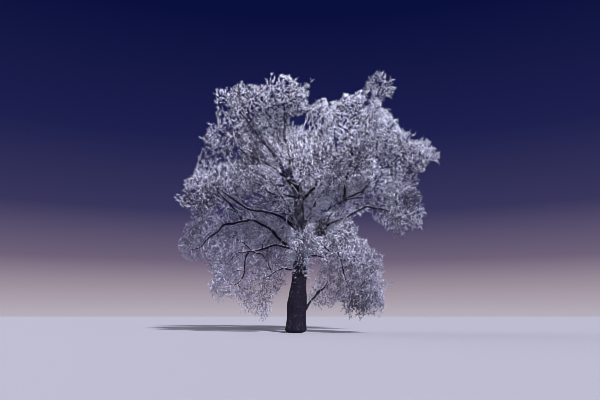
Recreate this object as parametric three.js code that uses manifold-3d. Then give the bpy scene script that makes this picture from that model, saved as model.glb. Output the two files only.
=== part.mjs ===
// A large bare winter tree, standing in the open: a thick trunk with a root flare and a burr above head
// height, a leader that forks high in the crown, long boughs that leave the trunk on all sides, and the
// closed masses of fine twigs at their ends, which together give the crown's outline and its gaps.
//
// Frame: millimetres, +Z up. The origin is the middle of the flat cut at ground level. -Y is the side that
// is looked at, +X is to the right seen from there.
import * as THREE from 'three';
import { mergeVertices } from 'three/addons/utils/BufferGeometryUtils.js';
import Module from 'manifold-3d';

const wasm = await Module();
wasm.setup();

// Driving dimensions. All the places below are in metres on a tree 27 m high, so the tree follows HEIGHT.
const HEIGHT = 27000;
const METRE = HEIGHT / 27;
const TRUNK_TOP = 14.2; // height of the main fork
const FLARE = { lobes: 5, reach: 0.22, fade: 0.55 }; // reach is a share of the radius, fade a height
const GAP = 2 / METRE; // clear space between neighbouring solids

// How finely the solids are faceted.
const TRUNK_SIDES = 20;
const TRUNK_STEPS = 14;
const BOUGH_SIDES = 7;
const BOUGH_STEP = 1.35; // length of one bough facet, in metres
const LARGE_MASS = 2.35; // a mass with a larger mean half size has finer facets

const bark = new THREE.MeshStandardMaterial({ color: 0x2c2533, roughness: 0.92, metalness: 0 });
const frost = new THREE.MeshStandardMaterial({ color: 0xc8c6dc, roughness: 0.75, metalness: 0 });

// The trunk's radius, and how far to the right its middle is, at heights. It narrows above the burr and
// again above the first great boughs, and stands straight up to the burr, where it steps to the right.
const trunkOutline = [
  { up: 0, radius: 1.0, right: 0 },
  { up: 1.6, radius: 0.94, right: 0.02 },
  { up: 2.9, radius: 1.0, right: 0.06 },
  { up: 4.1, radius: 0.8, right: 0.24 },
  { up: 5.6, radius: 0.71, right: 0.33 },
  { up: 8.0, radius: 0.68, right: 0.34 },
  { up: 10.3, radius: 0.58, right: 0.33 },
  { up: 12.2, radius: 0.49, right: 0.29 },
  { up: TRUNK_TOP, radius: 0.44, right: 0.16 },
];

function point(place) {
  return new THREE.Vector3(place[0], place[1], place[2]);
}

// A value of the trunk's outline at a height, eased from one knot to the next.
function alongTrunk(value, up) {
  const above = trunkOutline.findIndex((knot) => knot.up >= up);
  if (above <= 0) return trunkOutline[0][value];
  const low = trunkOutline[above - 1];
  const high = trunkOutline[above];
  const share = (up - low.up) / (high.up - low.up);
  return THREE.MathUtils.lerp(low[value], high[value], THREE.MathUtils.smoothstep(share, 0, 1));
}

// Every shape is made from a closed three.js solid whose points are moved one by one.
function reshape(geometry, move) {
  geometry.deleteAttribute('normal');
  geometry.deleteAttribute('uv');
  const merged = mergeVertices(geometry, 1e-4);
  const position = merged.getAttribute('position');
  const vertex = new THREE.Vector3();
  for (let i = 0; i < position.count; i++) {
    vertex.fromBufferAttribute(position, i);
    const moved = move(vertex).multiplyScalar(METRE);
    position.setXYZ(i, moved.x, moved.y, moved.z);
  }
  return new wasm.Manifold(
    new wasm.Mesh({
      numProp: 3,
      vertProperties: new Float32Array(position.array),
      triVerts: new Uint32Array(merged.index.array),
    })
  );
}

// The trunk, grown by a clearance. Its rings are closer together near the ground, where the flare is.
function trunkSolid(clearance) {
  const column = new THREE.CylinderGeometry(1, 1, 1, TRUNK_SIDES, TRUNK_STEPS);
  column.rotateX(Math.PI / 2);
  return reshape(column, (p) => {
    const share = p.z + 0.5;
    const up = TRUNK_TOP * Math.pow(share, 1.35);
    const angle = Math.atan2(p.y, p.x);
    const lobe = 0.5 + 0.5 * Math.cos(FLARE.lobes * angle + 0.6) + 0.35 * Math.cos(angle - 2.6);
    const flare = 1 + FLARE.reach * lobe * Math.exp(-up / FLARE.fade);
    const radius = alongTrunk('radius', up) * flare + clearance;
    const end = share === 1 ? clearance : 0;
    return new THREE.Vector3(alongTrunk('right', up) + p.x * radius, p.y * radius, up + end);
  });
}

// The boughs. way is the line of the middle of the limb, [right, back, up] in metres, and it starts inside
// what the bough grows from. thick is the radius at the foot and at the far end. into is the mass that it
// ends in.
const boughs = [
  // the fork at the head of the trunk
  { name: 'left_rising_bough', thick: [0.25, 0.1], into: 'top_left_mass',
    way: [[0.1, 0, 13.7], [-0.8, 0.1, 15.2], [-1.6, 0, 16.8], [-3.5, -0.1, 19.1], [-5.7, 1.1, 22.4]] },
  { name: 'middle_leader_bough', thick: [0.26, 0.11], into: 'top_middle_mass',
    way: [[0.25, 0, 13.7], [-0.5, 0.4, 16], [-0.9, 0.4, 18.2], [-1.3, 0.2, 21], [-1.2, 0.1, 22.6]] },
  { name: 'right_fork_bough', thick: [0.2, 0.09], into: 'right_crest_mass',
    way: [[0.3, 0, 12.7], [0.9, -0.1, 13.3], [1.5, 0, 13.85], [2.1, 0.25, 14.5], [2.5, 0.6, 15.9],
      [2.75, 1.2, 18.2], [2.9, 2, 21.2]] },
  { name: 'centre_bough', thick: [0.13, 0.08], into: 'centre_mass',
    way: [[0.2, 0, 13.2], [0.3, -1.1, 14.6], [0.5, -2.4, 15.7], [0.7, -3.4, 16.5]] },
  { name: 'upper_left_bough', thick: [0.13, 0.07], into: 'upper_left_mass',
    way: [[-0.9, 0.1, 15.3], [-2.6, -0.7, 16.3], [-4.6, -1.5, 17.2], [-6.1, -2.1, 17.9]] },
  // the left side, seen from the front
  { name: 'left_thin_bough', thick: [0.12, 0.07], into: 'middle_left_mass',
    way: [[0.2, 0, 13.1], [-1.1, -0.3, 13.4], [-2, -0.7, 13.1], [-3.4, -1, 14]] },
  { name: 'left_long_bough', thick: [0.18, 0.1], into: 'left_shoulder_mass',
    way: [[0.2, 0, 9.6], [-1.1, -0.2, 11], [-2.4, -0.3, 11.5], [-5.1, -0.1, 12.2], [-7.2, 0.4, 13.9]] },
  { name: 'left_arch_bough', thick: [0.22, 0.13],
    way: [[0.2, 0, 6.8], [-1, 0.1, 8.4], [-2.6, 0.3, 10], [-3.6, 0.3, 10.8], [-4.6, 0.3, 11.1]] },
  { name: 'left_arch_end_bough', thick: [0.125, 0.08], into: 'left_arch_mass',
    way: [[-4.45, 0.3, 11.08], [-5.6, 0.2, 10.75], [-6.9, 0.15, 10.45], [-8, 0, 9.5]] },
  { name: 'left_arch_riser_bough', thick: [0.11, 0.07], into: 'left_shoulder_mass',
    way: [[-5.4, 0.25, 10.95], [-6, 0.6, 11.9], [-6.8, 0.7, 12.7], [-7.5, 0.6, 13.9]] },
  { name: 'left_low_bough', thick: [0.145, 0.085], into: 'left_hanging_mass',
    way: [[0.2, 0, 7.5], [-0.9, -0.4, 8.25], [-2.3, -0.6, 8.35], [-3.3, -0.6, 7.98], [-4.6, -0.4, 7.75],
      [-5.5, 0.1, 7]] },
  { name: 'left_foot_bough', thick: [0.11, 0.06], into: 'low_left_mass',
    way: [[0.1, 0, 5.7], [-1.1, -0.2, 6.2], [-2.1, 0, 6], [-3, 0.4, 5]] },
  // the right side
  { name: 'right_foot_bough', thick: [0.2, 0.08], into: 'low_right_mass',
    way: [[0.3, 0, 1.7], [1.2, -0.1, 2.6], [1.9, 0.1, 3.6], [2.6, 0.6, 4.8]] },
  { name: 'right_great_bough', thick: [0.38, 0.25],
    way: [[0.4, 0, 7.3], [1.6, -0.1, 9.1], [2.6, -0.2, 10.3], [4.2, 0, 12.4]] },
  { name: 'right_rising_bough', thick: [0.17, 0.1], into: 'right_peak_mass',
    way: [[4.05, 0, 12.2], [4.8, -0.1, 13.1], [4.9, -0.15, 13.9], [5.2, -0.4, 14.9], [5.2, -0.8, 16],
      [5.65, -1.3, 17.2], [5.6, -2, 18.7], [5.1, -2.5, 20.2]] },
  { name: 'right_crook_bough', thick: [0.14, 0.08], into: 'right_shoulder_mass',
    way: [[4.1, 0, 12.3], [5.1, 0.05, 13.2], [5.9, 0.15, 13.65], [6.6, 0.3, 13.7], [7.2, 0.35, 14.3],
      [7.7, 0.2, 15.5], [7.95, 0, 16.8], [8.3, -0.9, 19]] },
  { name: 'far_right_bough', thick: [0.1, 0.06], into: 'far_right_mass',
    way: [[7, 0.33, 14.1], [8.1, 0.2, 15.4], [9.4, 0.1, 16.6], [10.8, 0, 17.3]] },
  { name: 'right_reaching_bough', thick: [0.165, 0.09], into: 'right_hanging_mass',
    way: [[2.3, -0.15, 9.9], [3.5, -0.4, 10.6], [4.9, -0.5, 11.15], [6.1, -0.3, 11.8], [6.6, -0.2, 12.2],
      [7.3, 0, 12.2], [8.1, 0.2, 12], [9.3, 0.4, 11.9]] },
  { name: 'right_falling_bough', thick: [0.27, 0.13], into: 'right_fall_mass',
    way: [[1.9, -0.1, 9.5], [2.6, -0.6, 9.6], [3.2, -0.95, 8.95], [3.85, -1.1, 8.1], [4.2, -1.2, 7.4]] },
  // towards the viewer
  { name: 'front_left_bough', thick: [0.18, 0.09], into: 'front_left_mass',
    way: [[0.2, 0, 10.2], [-0.9, -2.4, 12.1], [-2.1, -4.8, 13.2], [-3.3, -7, 14.2]] },
  { name: 'front_middle_bough', thick: [0.17, 0.09], into: 'front_middle_mass',
    way: [[0.3, 0, 11.2], [0.2, -2.4, 12.3], [0.4, -5, 12.9], [0.6, -8, 13.6]] },
  { name: 'front_right_bough', thick: [0.18, 0.09], into: 'front_right_mass',
    way: [[0.4, 0, 9.6], [1.7, -2.3, 11.8], [2.9, -4.6, 13.2], [4.1, -6.8, 14.2]] },
  { name: 'front_low_bough', thick: [0.14, 0.09], into: 'front_fork_mass',
    way: [[0.3, 0, 6.2], [0.5, -1.3, 7.2], [0.8, -2.6, 7.8], [0.9, -3.5, 8.1]] },
  // away from the viewer
  { name: 'back_left_bough', thick: [0.21, 0.11], into: 'back_left_mass',
    way: [[0.2, 0, 10.2], [-1.2, 2.4, 13], [-2.8, 4.3, 15.2], [-4.4, 6, 16.8]] },
  { name: 'back_right_bough', thick: [0.22, 0.11], into: 'back_right_mass',
    way: [[0.4, 0, 9.4], [2, 2.6, 12.4], [3.8, 4.6, 15], [5.7, 6.6, 17.2]] },
  { name: 'back_crown_bough', thick: [0.2, 0.1], into: 'back_crown_mass',
    way: [[0.25, 0, 13.2], [0.5, 1.6, 15.5], [0.3, 3.6, 18], [0.2, 5.8, 20.4]] },
  { name: 'back_middle_bough', thick: [0.2, 0.1], into: 'back_middle_mass',
    way: [[0.3, 0, 8.4], [0.5, 3, 11], [0.6, 5.6, 12.8], [0.6, 8.6, 14.4]] },
  { name: 'back_low_left_bough', thick: [0.16, 0.08], into: 'back_low_left_mass',
    way: [[0.2, 0, 7.3], [-1.4, 2.6, 9.4], [-2.8, 4.6, 10.3], [-3.9, 6.2, 10.9]] },
  { name: 'back_low_right_bough', thick: [0.16, 0.08], into: 'back_low_right_mass',
    way: [[0.3, 0, 6.9], [1.8, 2.8, 9], [3.2, 4.8, 9.9], [4.1, 6, 10.4]] },
];

// One tapering limb, grown by a clearance: a closed cylinder laid along a smooth curve.
function boughSolid(bough, clearance) {
  const curve = new THREE.CatmullRomCurve3(bough.way.map(point), false, 'centripetal');
  const steps = Math.max(3, Math.round(curve.getLength() / BOUGH_STEP));
  const frames = curve.computeFrenetFrames(steps, false);
  const stem = new THREE.CylinderGeometry(1, 1, 1, BOUGH_SIDES, steps);
  return reshape(stem, (p) => {
    const ring = Math.round((p.y + 0.5) * steps);
    const radius = THREE.MathUtils.lerp(bough.thick[0], bough.thick[1], ring / steps) + clearance;
    const end = ring === steps ? clearance : 0;
    return curve
      .getPointAt(ring / steps)
      .addScaledVector(frames.normals[ring], p.x * radius)
      .addScaledVector(frames.binormals[ring], -p.z * radius)
      .addScaledVector(frames.tangents[ring], end);
  });
}

// The masses of twigs. at is the middle, [right, back, up], and half is the half size along the same three
// ways, in metres. hang draws a weeping mass out below its middle, towards the ground.
const masses = [
  // round the edge of the crown, from its top down the left side and down the right
  { name: 'top_left_mass', at: [-6.3, 2, 24.1], half: [2.5, 2.5, 2.1] },
  { name: 'top_middle_mass', at: [-0.8, -0.4, 23.6], half: [3.2, 3.5, 2.3] },
  { name: 'upper_left_mass', at: [-7.2, -2.4, 18.4], half: [2.6, 2.8, 1.7] },
  { name: 'left_shoulder_mass', at: [-8.8, 0.6, 14.3], half: [3.1, 3.8, 2.4] },
  { name: 'left_arch_mass', at: [-8.6, -0.4, 9.5], half: [2.4, 3.1, 1.9], hang: 0.25 },
  { name: 'left_hanging_mass', at: [-6.4, 0.8, 6.5], half: [2.2, 3.0, 2.5], hang: 0.4 },
  { name: 'low_left_mass', at: [-3.2, 0.5, 4.3], half: [1.6, 1.8, 2.2], hang: 0.35 },
  { name: 'inner_left_mass', at: [-3.7, 3, 20.1], half: [2.4, 2.5, 2.5] },
  { name: 'middle_left_mass', at: [-4.2, -1.6, 14.8], half: [1.9, 2.0, 1.8] },
  { name: 'centre_mass', at: [0.7, -4.5, 17.1], half: [2.0, 2.0, 2.4] },
  { name: 'right_crest_mass', at: [2.9, 2.3, 22.2], half: [1.5, 2.0, 2.1] },
  { name: 'right_sprig_mass', at: [8.7, -0.4, 24.5], half: [1.9, 1.8, 2.2] },
  { name: 'right_peak_mass', at: [5.2, -2.9, 21.2], half: [1.8, 2.2, 2.6] },
  { name: 'right_shoulder_mass', at: [8.7, -1.3, 20.0], half: [2.2, 3.2, 2.1] },
  { name: 'far_right_mass', at: [11.9, 0.7, 17.6], half: [2.5, 3.2, 1.9] },
  { name: 'right_hanging_mass', at: [10.6, 0.6, 13.3], half: [2.3, 3.2, 2.5], hang: 0.4 },
  { name: 'right_middle_mass', at: [5.5, -3.8, 16.2], half: [2.4, 2.1, 2.0] },
  { name: 'right_fall_mass', at: [4.9, -1.4, 8.8], half: [1.9, 2.3, 2.1] },
  { name: 'right_weeping_mass', at: [6.3, -1.8, 4.9], half: [2.4, 3.2, 2.7], hang: 0.45 },
  { name: 'low_right_mass', at: [3, 1, 4.6], half: [1.3, 1.7, 2.1], hang: 0.3 },
  // towards the viewer
  { name: 'front_fork_mass', at: [1.1, -4.2, 8.4], half: [1.6, 1.8, 1.7] },
  { name: 'front_left_mass', at: [-3.7, -8, 14.9], half: [2.5, 2.3, 2.0] },
  { name: 'front_middle_mass', at: [0.6, -9.2, 14.5], half: [1.9, 2.0, 1.7] },
  { name: 'front_right_mass', at: [4.7, -8, 14.7], half: [2.4, 2.1, 1.9] },
  // away from the viewer
  { name: 'back_left_mass', at: [-5.2, 7, 17.6], half: [2.9, 2.6, 2.6] },
  { name: 'back_right_mass', at: [6.3, 6.9, 17.4], half: [3.0, 3.0, 2.9] },
  { name: 'back_crown_mass', at: [0.2, 7, 20.7], half: [2.8, 2.7, 2.4] },
  { name: 'back_middle_mass', at: [0.6, 10, 15.2], half: [2.7, 2.2, 2.4] },
  { name: 'back_low_left_mass', at: [-4.3, 7, 11.4], half: [2.6, 2.4, 2.2], hang: 0.3 },
  { name: 'back_low_right_mass', at: [4.6, 7, 10.6], half: [2.4, 2.4, 2.3], hang: 0.4 },
];

// The unevenness of a mass in a direction, from -1 to 1: a few waves that differ from mass to mass.
function unevenness(direction, seed) {
  const { x, y, z } = direction;
  return (
    0.45 * Math.sin(2.3 * x + 1.7 * seed) * Math.cos(2.9 * z - seed) +
    0.35 * Math.sin(4.1 * y + 3.1 * z + 2.3 * seed) +
    0.2 * Math.cos(5.7 * x - 4.3 * y + 0.9 * seed)
  );
}

// One mass, grown by a clearance.
function massSolid(mass, seed, clearance) {
  const [wide, deep, tall] = mass.half;
  const detail = (wide + deep + tall) / 3 > LARGE_MASS ? 2 : 1;
  const ball = new THREE.IcosahedronGeometry(1, detail);
  const hang = mass.hang ?? 0;
  return reshape(ball, (p) => {
    const direction = p.clone().normalize();
    const swell = 1 + 0.14 * unevenness(direction, seed);
    const drop = direction.z < 0 ? 1 + hang : 1;
    const narrow = direction.z < 0 ? 1 + 0.35 * hang * direction.z : 1;
    return new THREE.Vector3(
      mass.at[0] + direction.x * (wide * swell * narrow + clearance),
      mass.at[1] + direction.y * (deep * swell * narrow + clearance),
      mass.at[2] + direction.z * (tall * swell * drop + clearance)
    );
  });
}

// The largest of the pieces that a cut leaves.
function largest(solid) {
  const pieces = solid.decompose();
  return pieces.reduce((best, piece) => (piece.volume() > best.volume() ? piece : best));
}

// A named mesh whose own origin is at a place on the tree.
function meshOf(name, solid, place, material) {
  const made = solid.getMesh();
  const geometry = new THREE.BufferGeometry();
  geometry.setAttribute('position', new THREE.BufferAttribute(new Float32Array(made.vertProperties), 3));
  geometry.setIndex(new THREE.BufferAttribute(new Uint32Array(made.triVerts), 1));
  const origin = point(place).multiplyScalar(METRE);
  geometry.translate(-origin.x, -origin.y, -origin.z);
  geometry.computeVertexNormals();
  const mesh = new THREE.Mesh(geometry, material);
  mesh.name = name;
  mesh.position.copy(origin);
  return mesh;
}

const tree = new THREE.Group();
const limbs = new THREE.Group();
const crown = new THREE.Group();
tree.add(limbs, crown);

tree.add(meshOf('trunk', trunkSolid(0), [0, 0, 0], bark));

// Each bough is cut back to what it grows from, and ends where it meets its mass.
const trunkRoom = trunkSolid(GAP);
const massRoom = new Map(masses.map((mass, seed) => [mass.name, massSolid(mass, seed, GAP)]));
const boughRoom = boughs.map((bough) => boughSolid(bough, GAP));
boughs.forEach((bough, index) => {
  let solid = boughSolid(bough, 0).subtract(trunkRoom);
  if (bough.into) solid = solid.subtract(massRoom.get(bough.into));
  for (const earlier of boughRoom.slice(0, index)) solid = solid.subtract(earlier);
  limbs.add(meshOf(bough.name, largest(solid), bough.way[0], bark));
});

// Each mass is cut round the trunk, round the boughs that pass it by, and round the masses made before it.
masses.forEach((mass, seed) => {
  let solid = massSolid(mass, seed, 0).subtract(trunkRoom);
  boughs.forEach((bough, index) => {
    if (bough.into !== mass.name) solid = solid.subtract(boughRoom[index]);
  });
  for (const earlier of masses.slice(0, seed)) solid = solid.subtract(massRoom.get(earlier.name));
  crown.add(meshOf(mass.name, largest(solid), mass.at, frost));
});

export default tree;
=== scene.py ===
"""A large bare winter tree, standing in the open, with every twig coated in rime.

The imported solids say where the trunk, the boughs and the masses of twigs are. The trunk and each bough are
modelled again with the relief of their bark. Each mass gives way to twigs, which grow on from the boughs by a
seeded rule: points are strewn through the mass, joined into one branching net that starts on the wood nearby,
and set with short rimed shoots. Everything is in metres, in the frame of the solids, +Z up.
"""

import heapq
import logging
import math
from dataclasses import dataclass, field
from enum import Enum

import bpy
import numpy as np
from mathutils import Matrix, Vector, noise
from mathutils.bvhtree import BVHTree
from mathutils.kdtree import KDTree


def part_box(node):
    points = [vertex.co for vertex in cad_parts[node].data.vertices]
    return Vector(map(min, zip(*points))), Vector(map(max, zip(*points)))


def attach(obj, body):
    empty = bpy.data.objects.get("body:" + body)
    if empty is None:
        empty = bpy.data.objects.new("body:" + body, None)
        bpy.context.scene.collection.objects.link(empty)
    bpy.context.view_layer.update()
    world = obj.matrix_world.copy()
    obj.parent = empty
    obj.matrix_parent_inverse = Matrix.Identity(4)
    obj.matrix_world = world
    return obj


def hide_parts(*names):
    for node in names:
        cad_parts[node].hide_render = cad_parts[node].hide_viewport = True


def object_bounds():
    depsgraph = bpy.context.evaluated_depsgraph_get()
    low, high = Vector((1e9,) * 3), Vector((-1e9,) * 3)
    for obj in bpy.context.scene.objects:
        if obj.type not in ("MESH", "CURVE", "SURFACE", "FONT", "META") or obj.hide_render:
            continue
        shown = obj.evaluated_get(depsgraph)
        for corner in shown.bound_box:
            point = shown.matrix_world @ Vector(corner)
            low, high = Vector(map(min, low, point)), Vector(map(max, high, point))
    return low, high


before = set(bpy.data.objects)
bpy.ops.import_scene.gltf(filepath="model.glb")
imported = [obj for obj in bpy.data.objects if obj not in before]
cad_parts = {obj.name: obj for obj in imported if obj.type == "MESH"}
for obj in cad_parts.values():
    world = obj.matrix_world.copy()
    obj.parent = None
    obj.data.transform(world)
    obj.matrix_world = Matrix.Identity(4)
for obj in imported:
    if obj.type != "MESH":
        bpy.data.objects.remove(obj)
cad_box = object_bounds()

log = logging.getLogger("winter_tree")

BODY = "root"
SEED = 20
UP = Vector((0.0, 0.0, 1.0))

Colour = tuple[float, float, float]
Place = tuple[float, float, float]


class Slot(Enum):
    """The record's material slots."""

    TRUNK = "trunk_bark"
    BOUGH = "bough_bark"
    TWIG = "frosted_twigs"


class Coat(Enum):
    """How much rime a face of a twig carries and how light it is painted, as its place in a piece's list of
    materials. Where the crown chooses it by depth or by a painted patch, it also paints shade and light.
    """

    WHITE = 0
    THICK = 1
    GREY = 2
    THIN = 3
    BARE = 4


# Small tools


def deselect_all() -> None:
    """Leaves object mode and deselects everything."""
    if bpy.context.object and bpy.context.object.mode != "OBJECT":
        bpy.ops.object.mode_set(mode="OBJECT")
    bpy.ops.object.select_all(action="DESELECT")


def activate(piece: bpy.types.Object) -> None:
    """Makes a piece the only selected and the active one.

    Args:
        piece: The piece.
    """
    deselect_all()
    piece.select_set(True)
    bpy.context.view_layer.objects.active = piece


def open_mesh() -> None:
    """Enters edit mode with the whole mesh selected."""
    bpy.ops.object.mode_set(mode="EDIT")
    bpy.ops.mesh.select_all(action="SELECT")


def close_mesh() -> None:
    """Turns all faces outward and leaves edit mode."""
    bpy.ops.mesh.select_all(action="SELECT")
    bpy.ops.mesh.normals_make_consistent(inside=False)
    bpy.ops.object.mode_set(mode="OBJECT")


def apply_modifier(piece: bpy.types.Object, kind: str, **settings: object) -> None:
    """Adds a modifier to a piece and applies it.

    Args:
        piece: The piece that is changed.
        kind: The modifier's type, such as "SUBSURF".
        **settings: Values for the modifier's own settings.
    """
    activate(piece)
    modifier = piece.modifiers.new(kind.lower(), kind)
    for name, value in settings.items():
        setattr(modifier, name, value)
    bpy.ops.object.modifier_apply(modifier=modifier.name)


def add_object(name: str, data: bpy.types.ID | None) -> bpy.types.Object:
    """Makes an object and links it to the scene.

    Args:
        name: The object's name.
        data: Its data, or None for an empty one.

    Returns:
        The object.
    """
    made = bpy.data.objects.new(name, data)
    bpy.context.scene.collection.objects.link(made)
    return made


def unit(ways: np.ndarray) -> np.ndarray:
    """Scales each vector to a length of 1."""
    return ways / np.maximum(np.linalg.norm(ways, axis=-1, keepdims=True), 1e-9)


def wavering(points: np.ndarray, size: float, shift: float = 0.0) -> np.ndarray:
    """Gives each point a smooth random value.

    Args:
        points: The points, one a row.
        size: The distance over which the value changes.
        shift: How far the pattern is moved, for a pattern that differs from another of the same size.

    Returns:
        One value for each point, between about -1 and 1.
    """
    return np.array([noise.noise(Vector(point) / size + Vector((shift, shift, shift))) for point in points])


def between(a: np.ndarray, b: np.ndarray, c: np.ndarray, d: np.ndarray, share: np.ndarray) -> np.ndarray:
    """Finds places on the smooth curve through four knots.

    Args:
        a: The knot before the stretch.
        b: The knot where the stretch begins.
        c: The knot where it ends.
        d: The knot after it.
        share: How far along the stretch the places are, from 0 to 1.

    Returns:
        The places.
    """
    bend, twist = 2 * a - 5 * b + 4 * c - d, 3 * b - a - 3 * c + d
    return 0.5 * (2 * b + (c - a) * share + bend * share**2 + twist * share**3)


def hand_over(piece: bpy.types.Object, nodes: list[str]) -> None:
    """Fixes a finished piece to the tree's body and the solids that it stands for.

    Args:
        piece: The finished piece.
        nodes: The CAD nodes that it replaces.
    """
    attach(piece, BODY)
    if nodes:
        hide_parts(*nodes)


def report(piece: bpy.types.Object) -> None:
    """Logs a finished piece's name and its number of triangles."""
    mesh = piece.data
    log.info("%s: %d triangles", piece.name, len(mesh.loops) - 2 * len(mesh.polygons))


# Finishes


def feed(tree: bpy.types.NodeTree, socket: bpy.types.NodeSocket, value: object) -> None:
    """Gives an input its value.

    Args:
        tree: The node tree.
        socket: The input.
        value: A number, a vector or a colour, or another node's output, which is linked to it.
    """
    if isinstance(value, bpy.types.NodeSocket):
        tree.links.new(value, socket)
    elif socket.type == "RGBA":
        socket.default_value = (*value, 1.0)
    else:
        socket.default_value = value


def add_node(tree: bpy.types.NodeTree, kind: str, inputs: dict[str, object]) -> bpy.types.Node:
    """Adds a shader node.

    Args:
        tree: The node tree.
        kind: The node's type, without the ShaderNode that it starts with.
        inputs: What feeds its inputs, by their names.

    Returns:
        The node.
    """
    made = tree.nodes.new(f"ShaderNode{kind}")
    for name, value in inputs.items():
        feed(tree, made.inputs[name], value)
    return made


def math_node(
    tree: bpy.types.NodeTree, operation: str, *values: object, clamp: bool = False
) -> bpy.types.NodeSocket:
    """Adds a Math node.

    Args:
        tree: The node tree.
        operation: The Math node's operation.
        *values: What feeds its inputs, in order.
        clamp: Whether the result is held between 0 and 1.

    Returns:
        The node's output.
    """
    made = tree.nodes.new("ShaderNodeMath")
    made.operation = operation
    made.use_clamp = clamp
    for socket, value in zip(made.inputs, values):
        feed(tree, socket, value)
    return made.outputs[0]


@dataclass(frozen=True)
class RimeGroup:
    """A node group that says where rime lies: on what faces up, in patches, and in specks everywhere.

    Attributes:
        patch: How many patches there are along a metre.
        speck: How many specks there are along a metre.
        clustering: How much closer the specks stand in the patches.
        lying_from: The sum of slope, patch and Cover from which rime lies.
        lying_edge: How sharp the edge of the lying rime is.
        speck_from: The sum of speck, cluster and Specks from which a speck shows.
        speck_edge: How sharp the edges of the specks are.
    """

    patch: float = 2.6
    speck: float = 19.0
    clustering: float = 0.9
    lying_from: float = 1.2
    lying_edge: float = 3.2
    speck_from: float = 1.31
    speck_edge: float = 7.0

    def tree(self) -> bpy.types.NodeTree:
        """Builds the group once.

        Returns:
            The node group, with inputs Cover and Specks and outputs Mask and Grain.
        """
        made = bpy.data.node_groups.get("Rime")
        if made:
            return made
        group = bpy.data.node_groups.new("Rime", "ShaderNodeTree")
        for name, value in (("Cover", 0.5), ("Specks", 0.3)):
            socket = group.interface.new_socket(name, in_out="INPUT", socket_type="NodeSocketFloat")
            socket.default_value = value
        for name in ("Mask", "Grain"):
            group.interface.new_socket(name, in_out="OUTPUT", socket_type="NodeSocketFloat")
        entry, leave = group.nodes.new("NodeGroupInput"), group.nodes.new("NodeGroupOutput")
        place = add_node(group, "TexCoord", {}).outputs["Object"]
        facing = add_node(group, "NewGeometry", {}).outputs["Normal"]
        upward = add_node(group, "SeparateXYZ", {"Vector": facing}).outputs["Z"]
        patches, specks = (
            add_node(group, "TexNoise", {"Vector": place, "Scale": scale, "Detail": detail}).outputs["Fac"]
            for scale, detail in ((self.patch, 3.0), (self.speck, 2.0))
        )
        slope = (upward, patches, entry.outputs["Cover"])
        lying = self._mask(group, slope, self.lying_from, self.lying_edge)
        clusters = math_node(group, "MULTIPLY", patches, self.clustering)
        dots = (specks, entry.outputs["Specks"], clusters)
        dotted = self._mask(group, dots, self.speck_from, self.speck_edge)
        feed(group, leave.inputs["Mask"], math_node(group, "MAXIMUM", lying, dotted))
        feed(group, leave.inputs["Grain"], specks)
        return group

    @staticmethod
    def _mask(
        group: bpy.types.NodeTree, terms: tuple[bpy.types.NodeSocket, ...], start: float, edge: float
    ) -> bpy.types.NodeSocket:
        """Adds up values and makes a mask of where the sum passes a start.

        Args:
            group: The node group.
            terms: The values.
            start: The sum at which the mask begins.
            edge: How fast it rises from 0 to 1.

        Returns:
            The mask.
        """
        total = terms[0]
        for term in terms[1:]:
            total = math_node(group, "ADD", total, term)
        return math_node(group, "MULTIPLY", math_node(group, "SUBTRACT", total, start), edge, clamp=True)


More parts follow.
